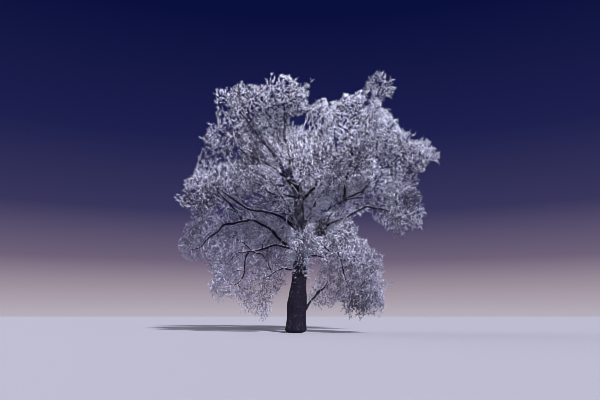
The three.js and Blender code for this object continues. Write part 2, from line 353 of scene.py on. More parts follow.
@dataclass(frozen=True)
class BarkFinish:
    """Dark furrowed bark with rime on it.

    Attributes:
        name: The material's name.
        ridge: The colour of the bark's ridges below the rise. Where it is darker than ridge_above_shade, that
            is painted shade: the crown's shadow painted on the low wood.
        ridge_above_shade: The colour of the ridges above the rise, out of the painted shade.
        furrow: The colour down in its furrows.
        rime: The colour of the rime.
        cover: How much rime lies on what faces up.
        specks: How many specks of rime there are on the rest.
        specks_above: How many specks of rime there are above the rise.
        rise: The heights between which the bark changes: its ridges pass from ridge, with its painted shade,
            to ridge_above_shade, and its specks of rime pass to specks_above.
        plates: How many furrows there are along a metre across the limb.
        stretch: How much longer than wide the bark's plates are.
        crack: How wide the furrows are, as a share of a plate.
    """

    name: str
    ridge: Colour = (0.016, 0.012, 0.024)
    ridge_above_shade: Colour = (0.016, 0.012, 0.024)
    furrow: Colour = (0.005, 0.004, 0.009)
    rime: Colour = (0.60, 0.59, 0.74)
    cover: float = 0.5
    specks: float = 0.3
    specks_above: float = 0.12
    rise: tuple[float, float] = (5.0, 11.0)
    plates: float = 9.0
    stretch: float = 4.0
    crack: float = 0.16

    SPECULAR = 0.1
    MOTTLE_SCALE = 0.6
    MOTTLE_DETAIL = 6.0
    WARP = 0.12
    RIDGE_GAIN = 1.9
    FURROW_ROUGHNESS = 0.95
    RIDGE_ROUGHNESS = 0.80
    BUMP_STRENGTH = 0.7
    BUMP_HEIGHT = 0.03

    def material(self) -> bpy.types.Material:
        """Builds the material once.

        Returns:
            The material.
        """
        made = bpy.data.materials.get(self.name)
        if made:
            return made
        made = bpy.data.materials.new(self.name)
        made.use_nodes = True
        made.diffuse_color = (*self.ridge, 1.0)
        tree = made.node_tree
        place = add_node(tree, "TexCoord", {}).outputs["Object"]
        height, above = self._relief(tree, place), self._above(tree, place)
        rime = add_node(tree, "Group", {})
        rime.node_tree = RimeGroup().tree()
        rime.inputs["Cover"].default_value = self.cover
        more = math_node(tree, "MULTIPLY", above, self.specks_above - self.specks)
        feed(tree, rime.inputs["Specks"], math_node(tree, "ADD", more, self.specks))
        mask = rime.outputs["Mask"]
        ridges = math_node(tree, "MULTIPLY", height, self.RIDGE_GAIN, clamp=True)
        # Below the rise the ridges take the darker ridge colour: painted shade on the low wood.
        colour = self._mixed(tree, above, self.ridge, self.ridge_above_shade)
        colour = self._mixed(tree, ridges, self.furrow, colour)
        smoother = self.RIDGE_ROUGHNESS - self.FURROW_ROUGHNESS
        bump = {
            "Strength": self.BUMP_STRENGTH,
            "Distance": self.BUMP_HEIGHT,
            "Height": math_node(tree, "ADD", height, mask),
        }
        surface = {
            "Base Color": self._mixed(tree, mask, colour, self.rime),
            "Roughness": math_node(tree, "MULTIPLY_ADD", height, smoother, self.FURROW_ROUGHNESS),
            "Specular IOR Level": self.SPECULAR,
            "Normal": add_node(tree, "Bump", bump).outputs["Normal"],
        }
        for name, value in surface.items():
            feed(tree, tree.nodes["Principled BSDF"].inputs[name], value)
        return made

    def _relief(self, tree: bpy.types.NodeTree, place: bpy.types.NodeSocket) -> bpy.types.NodeSocket:
        """Draws the bark's long plates.

        Args:
            tree: The material's node tree.
            place: The place on the piece.

        Returns:
            The height of the bark, from 0 in the furrows.
        """
        scale = (1.0, 1.0, 1.0 / self.stretch)
        turned = add_node(tree, "Mapping", {"Vector": place, "Scale": scale}).outputs["Vector"]
        grain = {"Vector": turned, "Scale": self.plates * self.MOTTLE_SCALE, "Detail": self.MOTTLE_DETAIL}
        mottle = add_node(tree, "TexNoise", grain)
        warped = self._mixed(tree, self.WARP, turned, mottle.outputs["Color"])
        plates = add_node(tree, "TexVoronoi", {"Vector": warped, "Scale": self.plates})
        plates.feature = "DISTANCE_TO_EDGE"
        crack = add_node(tree, "MapRange", {"Value": plates.outputs["Distance"], "From Max": self.crack})
        return math_node(tree, "MULTIPLY", crack.outputs["Result"], mottle.outputs["Fac"])

    def _above(self, tree: bpy.types.NodeTree, place: bpy.types.NodeSocket) -> bpy.types.NodeSocket:
        """Says how far up the rise a place is.

        Args:
            tree: The material's node tree.
            place: The place on the piece.

        Returns:
            The share of the rise, 0 below it and 1 above it.
        """
        height = add_node(tree, "SeparateXYZ", {"Vector": place}).outputs["Z"]
        rise = {"Value": height, "From Min": self.rise[0], "From Max": self.rise[1]}
        return add_node(tree, "MapRange", rise).outputs["Result"]

    @staticmethod
    def _mixed(
        tree: bpy.types.NodeTree, share: object, first: object, second: object
    ) -> bpy.types.NodeSocket:
        """Mixes two colours, each given as a colour or as an output."""
        return add_node(tree, "MixRGB", {"Fac": share, "Color1": first, "Color2": second}).outputs["Color"]


@dataclass(frozen=True)
class PlainFinish:
    """One plain matt colour.

    Attributes:
        name: The material's name.
        colour: Its colour.
        roughness: Its roughness.
        specular: How strongly it mirrors.
    """

    name: str
    colour: Colour
    roughness: float = 0.9
    specular: float = 0.1

    def material(self) -> bpy.types.Material:
        """Builds the material once.

        Returns:
            The material.
        """
        made = bpy.data.materials.get(self.name) or bpy.data.materials.new(self.name)
        made.use_nodes = True
        made.diffuse_color = (*self.colour, 1.0)
        surface = made.node_tree.nodes["Principled BSDF"]
        surface.inputs["Base Color"].default_value = (*self.colour, 1.0)
        surface.inputs["Roughness"].default_value = self.roughness
        surface.inputs["Specular IOR Level"].default_value = self.specular
        return made


@dataclass(frozen=True)
class TwigFinish:
    """The coats of rime on the twigs, as plain colours that are dealt out spray by spray.

    Attributes:
        colours: The colour of each coat.
        roughness: The roughness of rime, which is dull.
        specular: How strongly rime mirrors.
    """

    colours: tuple[tuple[Coat, Colour], ...] = (
        (Coat.WHITE, (0.82, 0.84, 1.0)),
        (Coat.THICK, (0.49, 0.50, 0.69)),
        (Coat.GREY, (0.232, 0.226, 0.356)),
        (Coat.THIN, (0.10, 0.092, 0.16)),
        (Coat.BARE, (0.034, 0.027, 0.048)),
    )
    roughness: float = 0.85
    specular: float = 0.3

    def materials(self) -> list[bpy.types.Material]:
        """Builds one material for each coat, in the order of the coats."""
        names = [(f"Rime_{coat.name.lower()}", colour) for coat, colour in self.colours]
        return [PlainFinish(name, colour, self.roughness, self.specular).material() for name, colour in names]


# The camera, and what it sees


@dataclass(frozen=True)
class Eye:
    """The camera, where the photograph was taken from.

    Attributes:
        place: Where it stands.
        pitch: How far it looks up, in radians.
        lens: Its focal length in millimetres.
        sensor: Its sensor's width in millimetres.
        farthest: How far it sees.
    """

    place: Place = (0.38, -52.2, 1.58)
    pitch: float = math.radians(12.27)
    lens: float = 32.0
    sensor: float = 36.0
    farthest: float = 4000.0

    def seen(self, points: np.ndarray) -> np.ndarray:
        """Finds where the lines of sight to points pass the trunk's plane.

        Args:
            points: Points of the frame, one a row.

        Returns:
            Distances to the right and above the ground, one pair a row.
        """
        eye = np.array(self.place)
        share = -eye[1] / (points[:, 1] - eye[1])
        return (eye + (points - eye) * share[:, None])[:, ::2]

    def build(self) -> None:
        """Makes the scene's camera."""
        data = bpy.data.cameras.new("camera")
        data.lens = self.lens
        data.sensor_width = self.sensor
        data.clip_end = self.farthest
        camera = add_object("camera", data)
        camera.location = self.place
        camera.rotation_euler = (math.pi / 2 + self.pitch, 0.0, 0.0)
        bpy.context.scene.camera = camera


@dataclass
class Clearing:
    """A stretch of wood that stays in sight: few twigs stand in front of it.

    Attributes:
        points: Places along the wood, one a row.
        width: How far the clearing reaches to either side.
        kept: The share of the twigs in front that stay.
    """

    points: np.ndarray
    width: float
    kept: float


@dataclass(frozen=True)
class Spot:
    """A round part of the crown along a line of sight.

    Attributes:
        across: Where its middle passes the trunk's plane, to the right.
        up: Where its middle passes that plane, above the ground.
        radius: Its radius there.
    """

    across: float
    up: float
    radius: float

    def apart(self, seen: np.ndarray) -> np.ndarray:
        """Measures how far places on the trunk's plane are from its middle."""
        return np.hypot(*(seen - (self.across, self.up)).T)


@dataclass(frozen=True)
class Opening(Spot):
    """An opening through the crown.

    Attributes:
        kept: The share of the twigs that still cross it.
    """

    kept: float


@dataclass(frozen=True)
class PaintedPatch(Spot):
    """A patch of painted light, where the twigs' coats are chosen lighter than on the rest; with a lift below
    0, a patch of painted shade, where they are chosen darker.

    Attributes:
        lift: How much lighter the twigs are painted in its middle; below 0, how much darker.
    """

    lift: float


# Lines along the wood


@dataclass
class LimbLine:
    """The middle line of a limb, from inside what it grows from to its far end, and its radius all along.

    Attributes:
        points: Places on the line, one a row.
        radii: The limb's radius at each of them.
        bare: The share of its length that bears no twigs.
    """

    points: np.ndarray
    radii: np.ndarray
    bare: float = 0.45

    FORK = 13.2
    FORK_INSET = 1.1
    TRUNK_INSET = 0.45
    TRUNK_REACH = 1.5
    BOUGH_INSET = 0.15
    END = 0.3
    SLICE = 0.7
    STEP = 0.3
    WOBBLE = 0.15
    WOBBLES_FROM = 0.25
    SLOW_BEND = 0.8
    QUICK_BEND = 2.1
    THINNEST = 0.03
    DRAWN_WOBBLE = 0.45
    DRAWN_BEND = 0.9

    @classmethod
    def of_node(cls, node: str) -> "LimbLine":
        """Reads the line off a bough's solid by slicing it all along its length.

        Args:
            node: The bough's CAD node.

        Returns:
            A smooth, slightly crooked line with a point every STEP.
        """
        corners, faces = merged_mesh(node)
        inner = int(np.argmin(np.hypot(corners[:, 0] - TrunkShape.LEAN, corners[:, 1])))
        from_foot = distances_along(corners, faces, inner)
        from_end = distances_along(corners, faces, int(np.argmax(from_foot)))
        length = from_end[inner]
        share = from_foot / length
        along = share * from_foot + (1.0 - share) * (length - from_end)
        middles, widths = cls._slices(corners, faces, along)
        back = middles[0] - middles[1]
        on_trunk = np.hypot(*middles[0][:2]) < cls.TRUNK_REACH
        inset = cls.TRUNK_INSET if on_trunk else cls.BOUGH_INSET
        if middles[0][2] > cls.FORK:
            inset = cls.FORK_INSET
        foot = middles[0] + back / np.linalg.norm(back) * inset
        return cls(*cls._smooth(np.vstack((foot, middles)), np.concatenate(([widths[0]], widths))))

    @classmethod
    def _slices(
        cls, corners: np.ndarray, faces: np.ndarray, along: np.ndarray
    ) -> tuple[np.ndarray, np.ndarray]:
        """Slices a long solid at even steps.

        Args:
            corners: The solid's corners.
            faces: Its triangles.
            along: How far along the solid each corner is.

        Returns:
            The slices' middles, and the solid's radius at each, which falls evenly.
        """
        edges = np.concatenate((faces[:, :2], faces[:, 1:], faces[:, ::2]))
        edges = np.unique(np.sort(edges, axis=1), axis=0)
        start, end = along[edges[:, 0]], along[edges[:, 1]]
        middles, widths = [], []
        number = max(3, round(along.max() / cls.SLICE))
        for level in np.linspace(cls.END, along.max() - cls.END, number):
            cut = (start - level) * (end - level) < 0
            share = ((level - start[cut]) / (end[cut] - start[cut]))[:, None]
            points = corners[edges[cut, 0]] * (1 - share) + corners[edges[cut, 1]] * share
            middles.append(points.mean(axis=0))
            widths.append(float(np.linalg.norm(points - points.mean(axis=0), axis=1).mean()))
        steps = np.arange(len(widths))
        slope, base = np.polyfit(steps, widths, 1)
        return np.array(middles), slope * steps + base

    @classmethod
    def _smooth(cls, middles: np.ndarray, widths: np.ndarray) -> tuple[np.ndarray, np.ndarray]:
        """Lays a smooth, slightly crooked line through the middles of the rings.

        Args:
            middles: The rings' middles.
            widths: The rings' radii.

        Returns:
            The new points, and the radius at each.
        """
        knots = np.column_stack((middles, widths))
        knots = np.vstack((2 * knots[0] - knots[1], knots, 2 * knots[-1] - knots[-2]))
        made = []
        for a, b, c, d in zip(knots, knots[1:], knots[2:], knots[3:]):
            steps = max(1, round(float(np.linalg.norm((c - b)[:3])) / cls.STEP))
            made += [between(a, b, c, d, share) for share in np.arange(steps)[:, None] / steps]
        line = np.array([*made, knots[-2]])
        share = np.linspace(0.0, 1.0, len(line))
        for row, amount in zip(line, np.minimum(1.0, share / cls.WOBBLES_FROM)):
            place = Vector(row[:3])
            crook = noise.noise_vector(place * cls.SLOW_BEND) + noise.noise_vector(place * cls.QUICK_BEND)
            row[:3] += np.array(crook) * cls.WOBBLE * amount
        return line[:, :3], np.maximum(line[:, 3], cls.THINNEST)

    @classmethod
    def by_hand(cls, places: list[Place], thick: tuple[float, float]) -> "LimbLine":
        """Lays a line through a few places.

        Args:
            places: The places.
            thick: The limb's radius at the first of them and at the last.

        Returns:
            The line.
        """
        return cls(*cls._smooth(np.array(places), np.linspace(*thick, len(places))))

    def drawn_on(self, length: float, thinning: float) -> "LimbLine":
        """Lets the line run on the way it was going.

        Args:
            length: How far it runs on.
            thinning: The share of its radius that is left at its new end.

        Returns:
            The longer line.
        """
        steps = round(length / self.STEP)
        way = self.points[-1] - self.points[-4]
        way = way / np.linalg.norm(way) * self.STEP
        points, radii = [self.points[-1]], [float(self.radii[-1])]
        for step in range(1, steps + 1):
            crook = np.array(noise.noise_vector(Vector(points[-1]) * self.DRAWN_BEND))
            points.append(points[-1] + way + crook * self.STEP * self.DRAWN_WOBBLE)
            radii.append(float(self.radii[-1]) * (1 - (1 - thinning) * step / steps))
        points, radii = np.vstack((self.points, points[1:])), np.concatenate((self.radii, radii[1:]))
        return LimbLine(points, radii, self.bare)

    def clearing(self, width: float, kept: float, first: float = 0.0, last: float = 1.0) -> "Clearing":
        """Makes the clearing that keeps the limb in sight.

        Args:
            width: How far the clearing reaches to either side.
            kept: The share of the twigs in front that stay.
            first: Where along the limb it begins, as a share of its length.
            last: Where along the limb it ends.

        Returns:
            The clearing.
        """
        start, end = int(first * len(self.points)), int(last * len(self.points))
        points = self.points[start : max(end, start + 2)]
        return Clearing(np.concatenate((points, (points[1:] + points[:-1]) / 2)), width, kept)

    def outer(self, share: float) -> "LimbLine":
        """Gives the part of the line beyond a share of it."""
        first = int(len(self.points) * share)
        return LimbLine(self.points[first:], self.radii[first:])


def merged_mesh(node: str) -> tuple[np.ndarray, np.ndarray]:
    """Reads a CAD node's mesh with its doubled corners merged.

    Args:
        node: The node's name.

    Returns:
        The corners, and each triangle's three corner numbers.
    """
    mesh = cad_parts[node].data
    corners = np.array([vertex.co for vertex in mesh.vertices])
    _, first, merged = np.unique(np.round(corners, 4), axis=0, return_index=True, return_inverse=True)
    faces = np.array([[merged[corner] for corner in face.vertices] for face in mesh.polygons])
    return corners[first], faces.reshape(-1, 3)


def distances_along(corners: np.ndarray, faces: np.ndarray, start: int) -> np.ndarray:
    """Measures how far each corner is from one of them along the edges.

    Args:
        corners: The mesh's corners.
        faces: Its triangles.
        start: The corner that is measured from.

    Returns:
        One distance for each corner.
    """
    beside: list[set[int]] = [set() for _ in corners]
    for a, b, c in faces:
        beside[a] |= {b, c}
        beside[b] |= {a, c}
        beside[c] |= {a, b}
    best = np.full(len(corners), np.inf)
    best[start] = 0.0
    queue = [(0.0, start)]
    while queue:
        reached, here = heapq.heappop(queue)
        if reached > best[here]:
            continue
        for other in beside[here]:
            further = reached + float(np.linalg.norm(corners[other] - corners[here]))
            if further < best[other]:
                best[other] = further
                heapq.heappush(queue, (further, other))
    return best


# The wood


class Pattern(Enum):
    """The pattern of a relief."""

    SWELLINGS = "CLOUDS"
    FURROWS = "VORONOI"


@dataclass(frozen=True)
class Relief:
    """A pattern that is pressed into a piece's surface, drawn out along a direction.

    Attributes:
        pattern: The pattern.
        size: The size of its features across the direction.
        strength: How far it moves the surface from its highest to its lowest.
        stretch: How much longer than wide its features are.
    """

    pattern: Pattern
    size: float
    strength: float
    stretch: float

    def press(self, piece: bpy.types.Object, along: Vector, share: float = 1.0) -> None:
        """Moves the piece's surface in and out.

        Args:
            piece: The piece.
            along: The direction that the features are drawn out along.
            share: The share of the strength that is used.
        """
        texture = bpy.data.textures.new("relief", self.pattern.value)
        texture.noise_scale = self.size
        if self.pattern is Pattern.FURROWS:
            texture.weight_1, texture.weight_2 = -1.0, 1.0
        else:
            texture.noise_depth = 3
        grid = add_object("relief_grid", None)
        grid.rotation_mode = "QUATERNION"
        grid.rotation_quaternion = along.to_track_quat("Z", "Y")
        grid.scale = (1.0, 1.0, self.stretch)
        bpy.context.view_layer.update()
        apply_modifier(
            piece,
            "DISPLACE",
            texture=texture,
            texture_coords="OBJECT",
            texture_coords_object=grid,
            strength=self.strength * share,
            mid_level=0.5,
        )
        bpy.data.objects.remove(grid)
        bpy.data.textures.remove(texture)


@dataclass
class TrunkShape:
    """The trunk's round shape, read off its solid.

    Attributes:
        top: The height of its top ring.
        rings: The number of its rings.
        crowding: The power by which the rings stand closer near the foot.
        sides: The number of corners in each ring.
    """

    top: float = 13.5
    rings: int = 19
    crowding: float = 1.2
    sides: int = 22

    LEAN = 0.25
    NEAR = 1.2
    BLUR = 0.5
    EDGE = 0.02

    def __post_init__(self) -> None:
        """Sets the rings' heights and reads the solid."""
        self.heights = self.top * np.linspace(0.0, 1.0, self.rings) ** self.crowding
        self.corners, faces = merged_mesh("trunk")
        self.solid = BVHTree.FromPolygons([tuple(c) for c in self.corners], faces.tolist())

    def middle(self, up: float) -> Vector:
        """Gives the middle of the trunk at a height.

        Args:
            up: The height.

        Returns:
            The mean place of the solid's corners near it.
        """
        near = self.corners[np.abs(self.corners[:, 2] - up) < self.NEAR]
        weight = np.exp(-((near[:, 2] - up) ** 2) / self.BLUR)
        across, back = (float((near[:, axis] * weight).sum() / weight.sum()) for axis in (0, 1))
        return Vector((across, back, up))

    def radius(self, up: float, angle: float | None = None) -> float:
        """Measures the trunk's radius at a height.

        Args:
            up: The height.
            angle: The direction that it is measured in, or None for the mean of all directions.

        Returns:
            The radius.
        """
        middle = self.middle(up)
        inside = Vector((middle.x, middle.y, min(max(up, self.EDGE), self.top - self.EDGE)))
        angles = [angle] if angle is not None else np.linspace(0, 2 * math.pi, self.sides, endpoint=False)
        found = [self.solid.ray_cast(inside, Vector((math.cos(a), math.sin(a), 0.0)))[3] for a in angles]
        return float(np.mean([f for f in found if f]))


@dataclass
class Trunk:
    """The trunk: its flare and the relief of its bark.

    Attributes:
        shape: The shape that it follows.
        finish: The finish of its bark.
        reliefs: Its knots and hollows, its furrows, and the fine scales of its bark.
        rim: How far in the top's rim lies, as a share of its radius.
        peak: How high the top rises inside its rim.
        foot: The height that nothing of it lies below.
    """

    shape: TrunkShape
    finish: BarkFinish
    reliefs: tuple[Relief, ...] = (
        Relief(Pattern.SWELLINGS, 0.75, 0.10, 1.6),
        Relief(Pattern.FURROWS, 0.30, 0.07, 4.5),
        Relief(Pattern.SWELLINGS, 0.09, 0.02, 3.0),
    )
    rim: float = 0.45
    peak: float = 0.25
    foot: float = 0.004

    def build(self) -> bpy.types.Object:
        """Draws the trunk up ring by ring from its foot, lays it on its solid and gives it its bark.

        Returns:
            The finished piece.
        """
        deselect_all()
        first = self.shape.middle(0.0)
        radius = self.shape.radius(0.0)
        bpy.ops.mesh.primitive_circle_add(
            vertices=self.shape.sides, radius=radius, fill_type="NGON", location=(first.x, first.y, 0.0)
        )
        piece = bpy.context.object
        piece.name = "trunk_wood"
        open_mesh()
        before = first
        for up in self.shape.heights[1:]:
            middle, wide = self.shape.middle(up), self.shape.radius(up)
            bpy.ops.mesh.extrude_region_move(TRANSFORM_OT_translate={"value": middle - before})
            bpy.ops.transform.resize(value=(wide / radius, wide / radius, 1.0), center_override=middle)
            before, radius = middle, wide
        bpy.ops.mesh.inset(thickness=radius * self.rim, depth=self.peak)
        close_mesh()
        bpy.ops.object.transform_apply(location=True, rotation=True, scale=True)
        apply_modifier(piece, "SUBSURF", levels=1, render_levels=1)
        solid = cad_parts["trunk"]
        apply_modifier(piece, "SHRINKWRAP", target=solid, wrap_method="NEAREST_SURFACEPOINT")
        apply_modifier(piece, "SUBSURF", levels=2, render_levels=2)
        for relief in self.reliefs:
            relief.press(piece, UP)
        self._level_foot(piece)
        finish_wood(piece, self.finish)
        hand_over(piece, ["trunk"])
        return piece

    def _level_foot(self, piece: bpy.types.Object) -> None:
        """Cuts off what reaches below the foot, and closes the cut.

        Args:
            piece: The trunk.
        """
        activate(piece)
        open_mesh()
        bpy.ops.mesh.bisect(
            plane_co=(0, 0, self.foot), plane_no=-UP, use_fill=True, clear_outer=True, clear_inner=False
        )
        close_mesh()


def finish_wood(piece: bpy.types.Object, finish: BarkFinish) -> None:
    """Smooths a piece of wood and puts its bark on.

    Args:
        piece: The piece of wood.
        finish: The finish of its bark.
    """
    activate(piece)
    bpy.ops.object.shade_smooth()
    piece.data.materials.clear()
    piece.data.materials.append(finish.material())


@dataclass
class Limb:
    """A bough, drawn out ring by ring along its line.

    Attributes:
        name: The piece's name.
        nodes: The CAD nodes that it stands for, if any.
        line: Its middle line and radii.
        finish: The finish of its bark.
        sides: The number of corners in each ring.
    """

    name: str
    nodes: list[str]
    line: LimbLine
    finish: BarkFinish
    sides: int = 8

    LOW_COLLAR = (0.45, 1.1)
    FORK_COLLAR = (0.55, 1.2)
    FORK_FROM = LimbLine.FORK - 1.0
    RELIEFS = (Relief(Pattern.SWELLINGS, 0.5, 0.32, 1.5), Relief(Pattern.FURROWS, 0.12, 0.24, 4.0))

    def build(self) -> bpy.types.Object:
        """Models the bough with a collar where it leaves the wood that carries it.

        Returns:
            The finished piece.
        """
        deselect_all()
        places = [Vector(p) for p in self.line.points]
        headings = self._headings(places)
        collar, reach = self.LOW_COLLAR if places[0].z < self.FORK_FROM else self.FORK_COLLAR
        radii = self.line.radii * (1.0 + collar * np.exp(-np.arange(len(places)) / reach))
        bpy.ops.mesh.primitive_circle_add(
            vertices=self.sides,
            radius=float(radii[0]),
            fill_type="NGON",
            location=places[0],
            rotation=headings[0].to_track_quat("Z", "Y").to_euler(),
        )
        piece = bpy.context.object
        piece.name = self.name
        open_mesh()
        for index in range(1, len(places)):
            step = places[index] - places[index - 1]
            bpy.ops.mesh.extrude_region_move(TRANSFORM_OT_translate={"value": step})
            self._turn(headings[index - 1], headings[index], places[index])
            share = float(radii[index] / radii[index - 1])
            bpy.ops.transform.resize(value=(share, share, share), center_override=places[index])
        close_mesh()
        bpy.ops.object.transform_apply(location=True, rotation=True, scale=True)
        apply_modifier(piece, "SUBSURF", levels=2, render_levels=2)
        thick = float(self.line.radii.mean())
        for relief in self.RELIEFS:
            relief.press(piece, places[-1] - places[0], thick)
        finish_wood(piece, self.finish)
        hand_over(piece, self.nodes)
        return piece

    @staticmethod
    def _headings(places: list[Vector]) -> list[Vector]:
        """Gives the line's direction at each of its points."""
        ends = [places[0], *places, places[-1]]
        return [(after - before).normalized() for before, after in zip(ends, ends[2:])]

    @staticmethod
    def _turn(before: Vector, after: Vector, middle: Vector) -> None:
        """Turns the selected ring about its middle from one heading to the next.

        Args:
            before: The heading that the ring has.
            after: The heading that it gets.
            middle: The ring's middle.
        """
        axis = before.cross(after)
        if axis.length < 1e-6:
            return
        rows = [list(row) for row in axis.to_track_quat("Z", "Y").to_matrix().transposed()]
        bpy.ops.transform.rotate(
            value=-before.angle(after), orient_axis="Z", orient_matrix=rows, center_override=middle
        )


# Twigs


@dataclass(frozen=True)
class Habit:
    """How the twigs of one mass grow.

    Attributes:
        fullness: How many twigs there are, 1 being usual.
        rime: How white they are, from 0 to 1.
        hang: The way their tips turn, from -1, up, to 1, down.
        thick: How thick the shoots are, 1 being usual.
        contrast: How much the coats of neighbouring shoots differ, and how much darker the deep twigs are
            painted, as painted shade.
    """

    fullness: float = 1.0
    rime: float = 0.72
    hang: float = -0.2
    thick: float = 1.0
    contrast: float = 0.5


@dataclass
class Thicket:
    """The room that the twigs fill: the masses run together, and a sleeve along each bough.

    INFILL holds the middles and half sizes of bodies that close gaps between the masses. OPENINGS are gaps in
    the crown, and EDGES are where its outline is trimmed.

    Attributes:
        names: The masses' CAD nodes.
        habits: How the twigs of each grow.
        lines: The boughs' lines.
        clearings: The stretches of wood that stay in sight.
        eye: The camera, for the openings and clearings.
        chance: The source of all random choices.
    """

    names: list[str]
    habits: list[Habit]
    lines: list[LimbLine]
    clearings: list[Clearing]
    eye: Eye
    chance: np.random.Generator

    REACH = 1.8
    LEVEL = 0.57
    SLEEVE = 1.8
    SLEEVE_WEIGHT = 0.80
    INFILL_WEIGHT = 1.1
    MARGIN = 0.3
    LOWEST = 1.2
    NEAR = 0.45
    SHELL = 0.38
    INNER = 0.12
    RAGGED = 0.30
    FRINGED = 0.16
    CLUMPS = (0.62, 1.5)
    FULLEST = 1.6
    BEHIND = 0.2
    INFILL = (
        ((-10.6, 0.6, 13.3), (1.2, 1.6, 1.0)), ((7.6, -0.8, 22.6), (1.1, 1.2, 1.1)),
        ((-4.4, 1.2, 12.9), (2.2, 1.6, 1.1)), ((3.9, -1.2, 11.4), (1.3, 0.9, 1.1)),
        ((2.7, -1.3, 11.9), (1.1, 0.8, 1.0)), ((5.9, 0.4, 13.6), (2.6, 2.0, 1.3)),
        ((2.2, -1.0, 12.2), (1.6, 1.2, 1.7)), ((-3.4, 0.8, 10.4), (3.0, 2.0, 1.5)),
        ((-2.6, 1.4, 7.0), (2.0, 1.8, 1.6)), ((-1.6, 1.2, 14.4), (1.6, 1.6, 1.5)),
        ((1.6, 1.6, 14.6), (1.6, 1.6, 1.5)), ((2.5, 1.0, 11.4), (1.3, 1.1, 1.1)),
        ((3.5, -1.2, 10.9), (0.9, 0.7, 1.0)), ((3.3, -1.7, 11.5), (1.0, 0.8, 1.1)),
        ((2.3, -1.3, 8.9), (0.9, 0.6, 0.7)), ((0.7, -3.8, 14.9), (1.5, 1.3, 1.5)),
        ((5.1, -3.6, 20.3), (1.4, 1.2, 1.5)), ((-7.7, 0.4, 21.9), (0.9, 1.0, 0.9)),
        ((-8.6, -0.6, 16.6), (1.2, 1.2, 0.9)),
    )
    OPENINGS = (
        Opening(0.1, 21.3, 0.62, 0.15), Opening(1.8, 20.7, 0.42, 0.3), Opening(0.9, 20.3, 0.7, 0.4),
        Opening(1.4, 23.5, 0.6, 0.25), Opening(7.4, 23.4, 0.45, 0.35), Opening(-4.4, 23.9, 0.38, 0.2),
        Opening(-4.5, 23.0, 0.3, 0.4), Opening(-6.7, 21.3, 0.42, 0.35), Opening(-7.7, 19.8, 0.42, 0.35),
        Opening(-6.1, 17.8, 0.75, 0.15), Opening(-7.2, 17.8, 0.35, 0.5), Opening(6.7, 17.3, 0.42, 0.4),
        Opening(8.3, 17.4, 0.35, 0.5), Opening(9.0, 18.6, 0.32, 0.5), Opening(7.6, 24.0, 0.40, 0.3),
        Opening(11.5, 16.0, 0.42, 0.3),
    )
    EDGES = (
        Opening(-11.4, 16.1, 1.1, 0.0), Opening(-2.4, 26.8, 0.8, 0.1), Opening(-0.9, 27.1, 0.8, 0.0),
        Opening(-0.3, 26.3, 0.35, 0.1), Opening(-5.2, 26.0, 0.6, 0.0), Opening(0.7, 25.9, 0.7, 0.0),
        Opening(2.0, 24.3, 0.8, 0.0), Opening(4.3, 24.4, 0.8, 0.0), Opening(5.7, 25.0, 0.75, 0.0),
        Opening(9.6, 23.1, 0.8, 0.05), Opening(10.6, 22.3, 0.9, 0.0), Opening(11.4, 21.1, 0.9, 0.0),
        Opening(14.8, 18.5, 0.6, 0.0), Opening(13.9, 16.2, 0.8, 0.0), Opening(13.1, 15.1, 0.8, 0.0),
        Opening(13.1, 14.0, 0.7, 0.0), Opening(13.1, 12.6, 0.6, 0.0), Opening(-9.8, 20.2, 0.6, 0.0),
        Opening(-10.0, 18.9, 0.6, 0.0), Opening(-8.4, 25.2, 0.5, 0.0), Opening(-7.6, 22.9, 0.4, 0.1),
        Opening(-12.1, 14.4, 0.8, 0.0), Opening(-11.6, 11.3, 0.8, 0.0), Opening(6.2, 10.8, 0.6, 0.0),
        Opening(6.9, 9.7, 0.8, 0.0), Opening(7.6, 8.6, 0.6, 0.1), Opening(5.7, 1.4, 0.9, 0.25),
    )

    def __post_init__(self) -> None:
        """Reads the masses' places and sizes."""
        boxes = [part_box(name) for name in self.names]
        self.middles = np.array([(low + high) / 2 for low, high in boxes])
        self.halves = np.array([(high - low) / 2 for low, high in boxes])
        bearing = np.concatenate([line.outer(line.bare).points for line in self.lines])
        self.sleeves = KDTree(len(bearing))
        for number, point in enumerate(bearing):
            self.sleeves.insert(point, number)
        self.sleeves.balance()

    def fill(self, points: np.ndarray) -> tuple[np.ndarray, np.ndarray]:
        """Measures how deep in the thicket points are.

        Args:
            points: The points, one a row.

        Returns:
            A depth for each point, above LEVEL inside the thicket, and the number of the nearest mass.
        """
        apart = np.array([self.sleeves.find(point)[2] for point in points])
        depth = self.SLEEVE_WEIGHT * np.clip(1 - (apart / self.SLEEVE) ** 2, 0.0, None) ** 2
        best, owner = np.full(len(points), np.inf), np.zeros(len(points), int)
        for number, (middle, half) in enumerate((*zip(self.middles, self.halves), *self.INFILL)):
            away = (((points - middle) / half) ** 2).sum(axis=1)
            weight = 1.0 if number < len(self.names) else self.INFILL_WEIGHT
            depth += weight * np.clip(1 - away / self.REACH**2, 0.0, None) ** 2
            if number < len(self.names):
                owner[away < best] = number
                best = np.minimum(best, away)
        return depth, owner

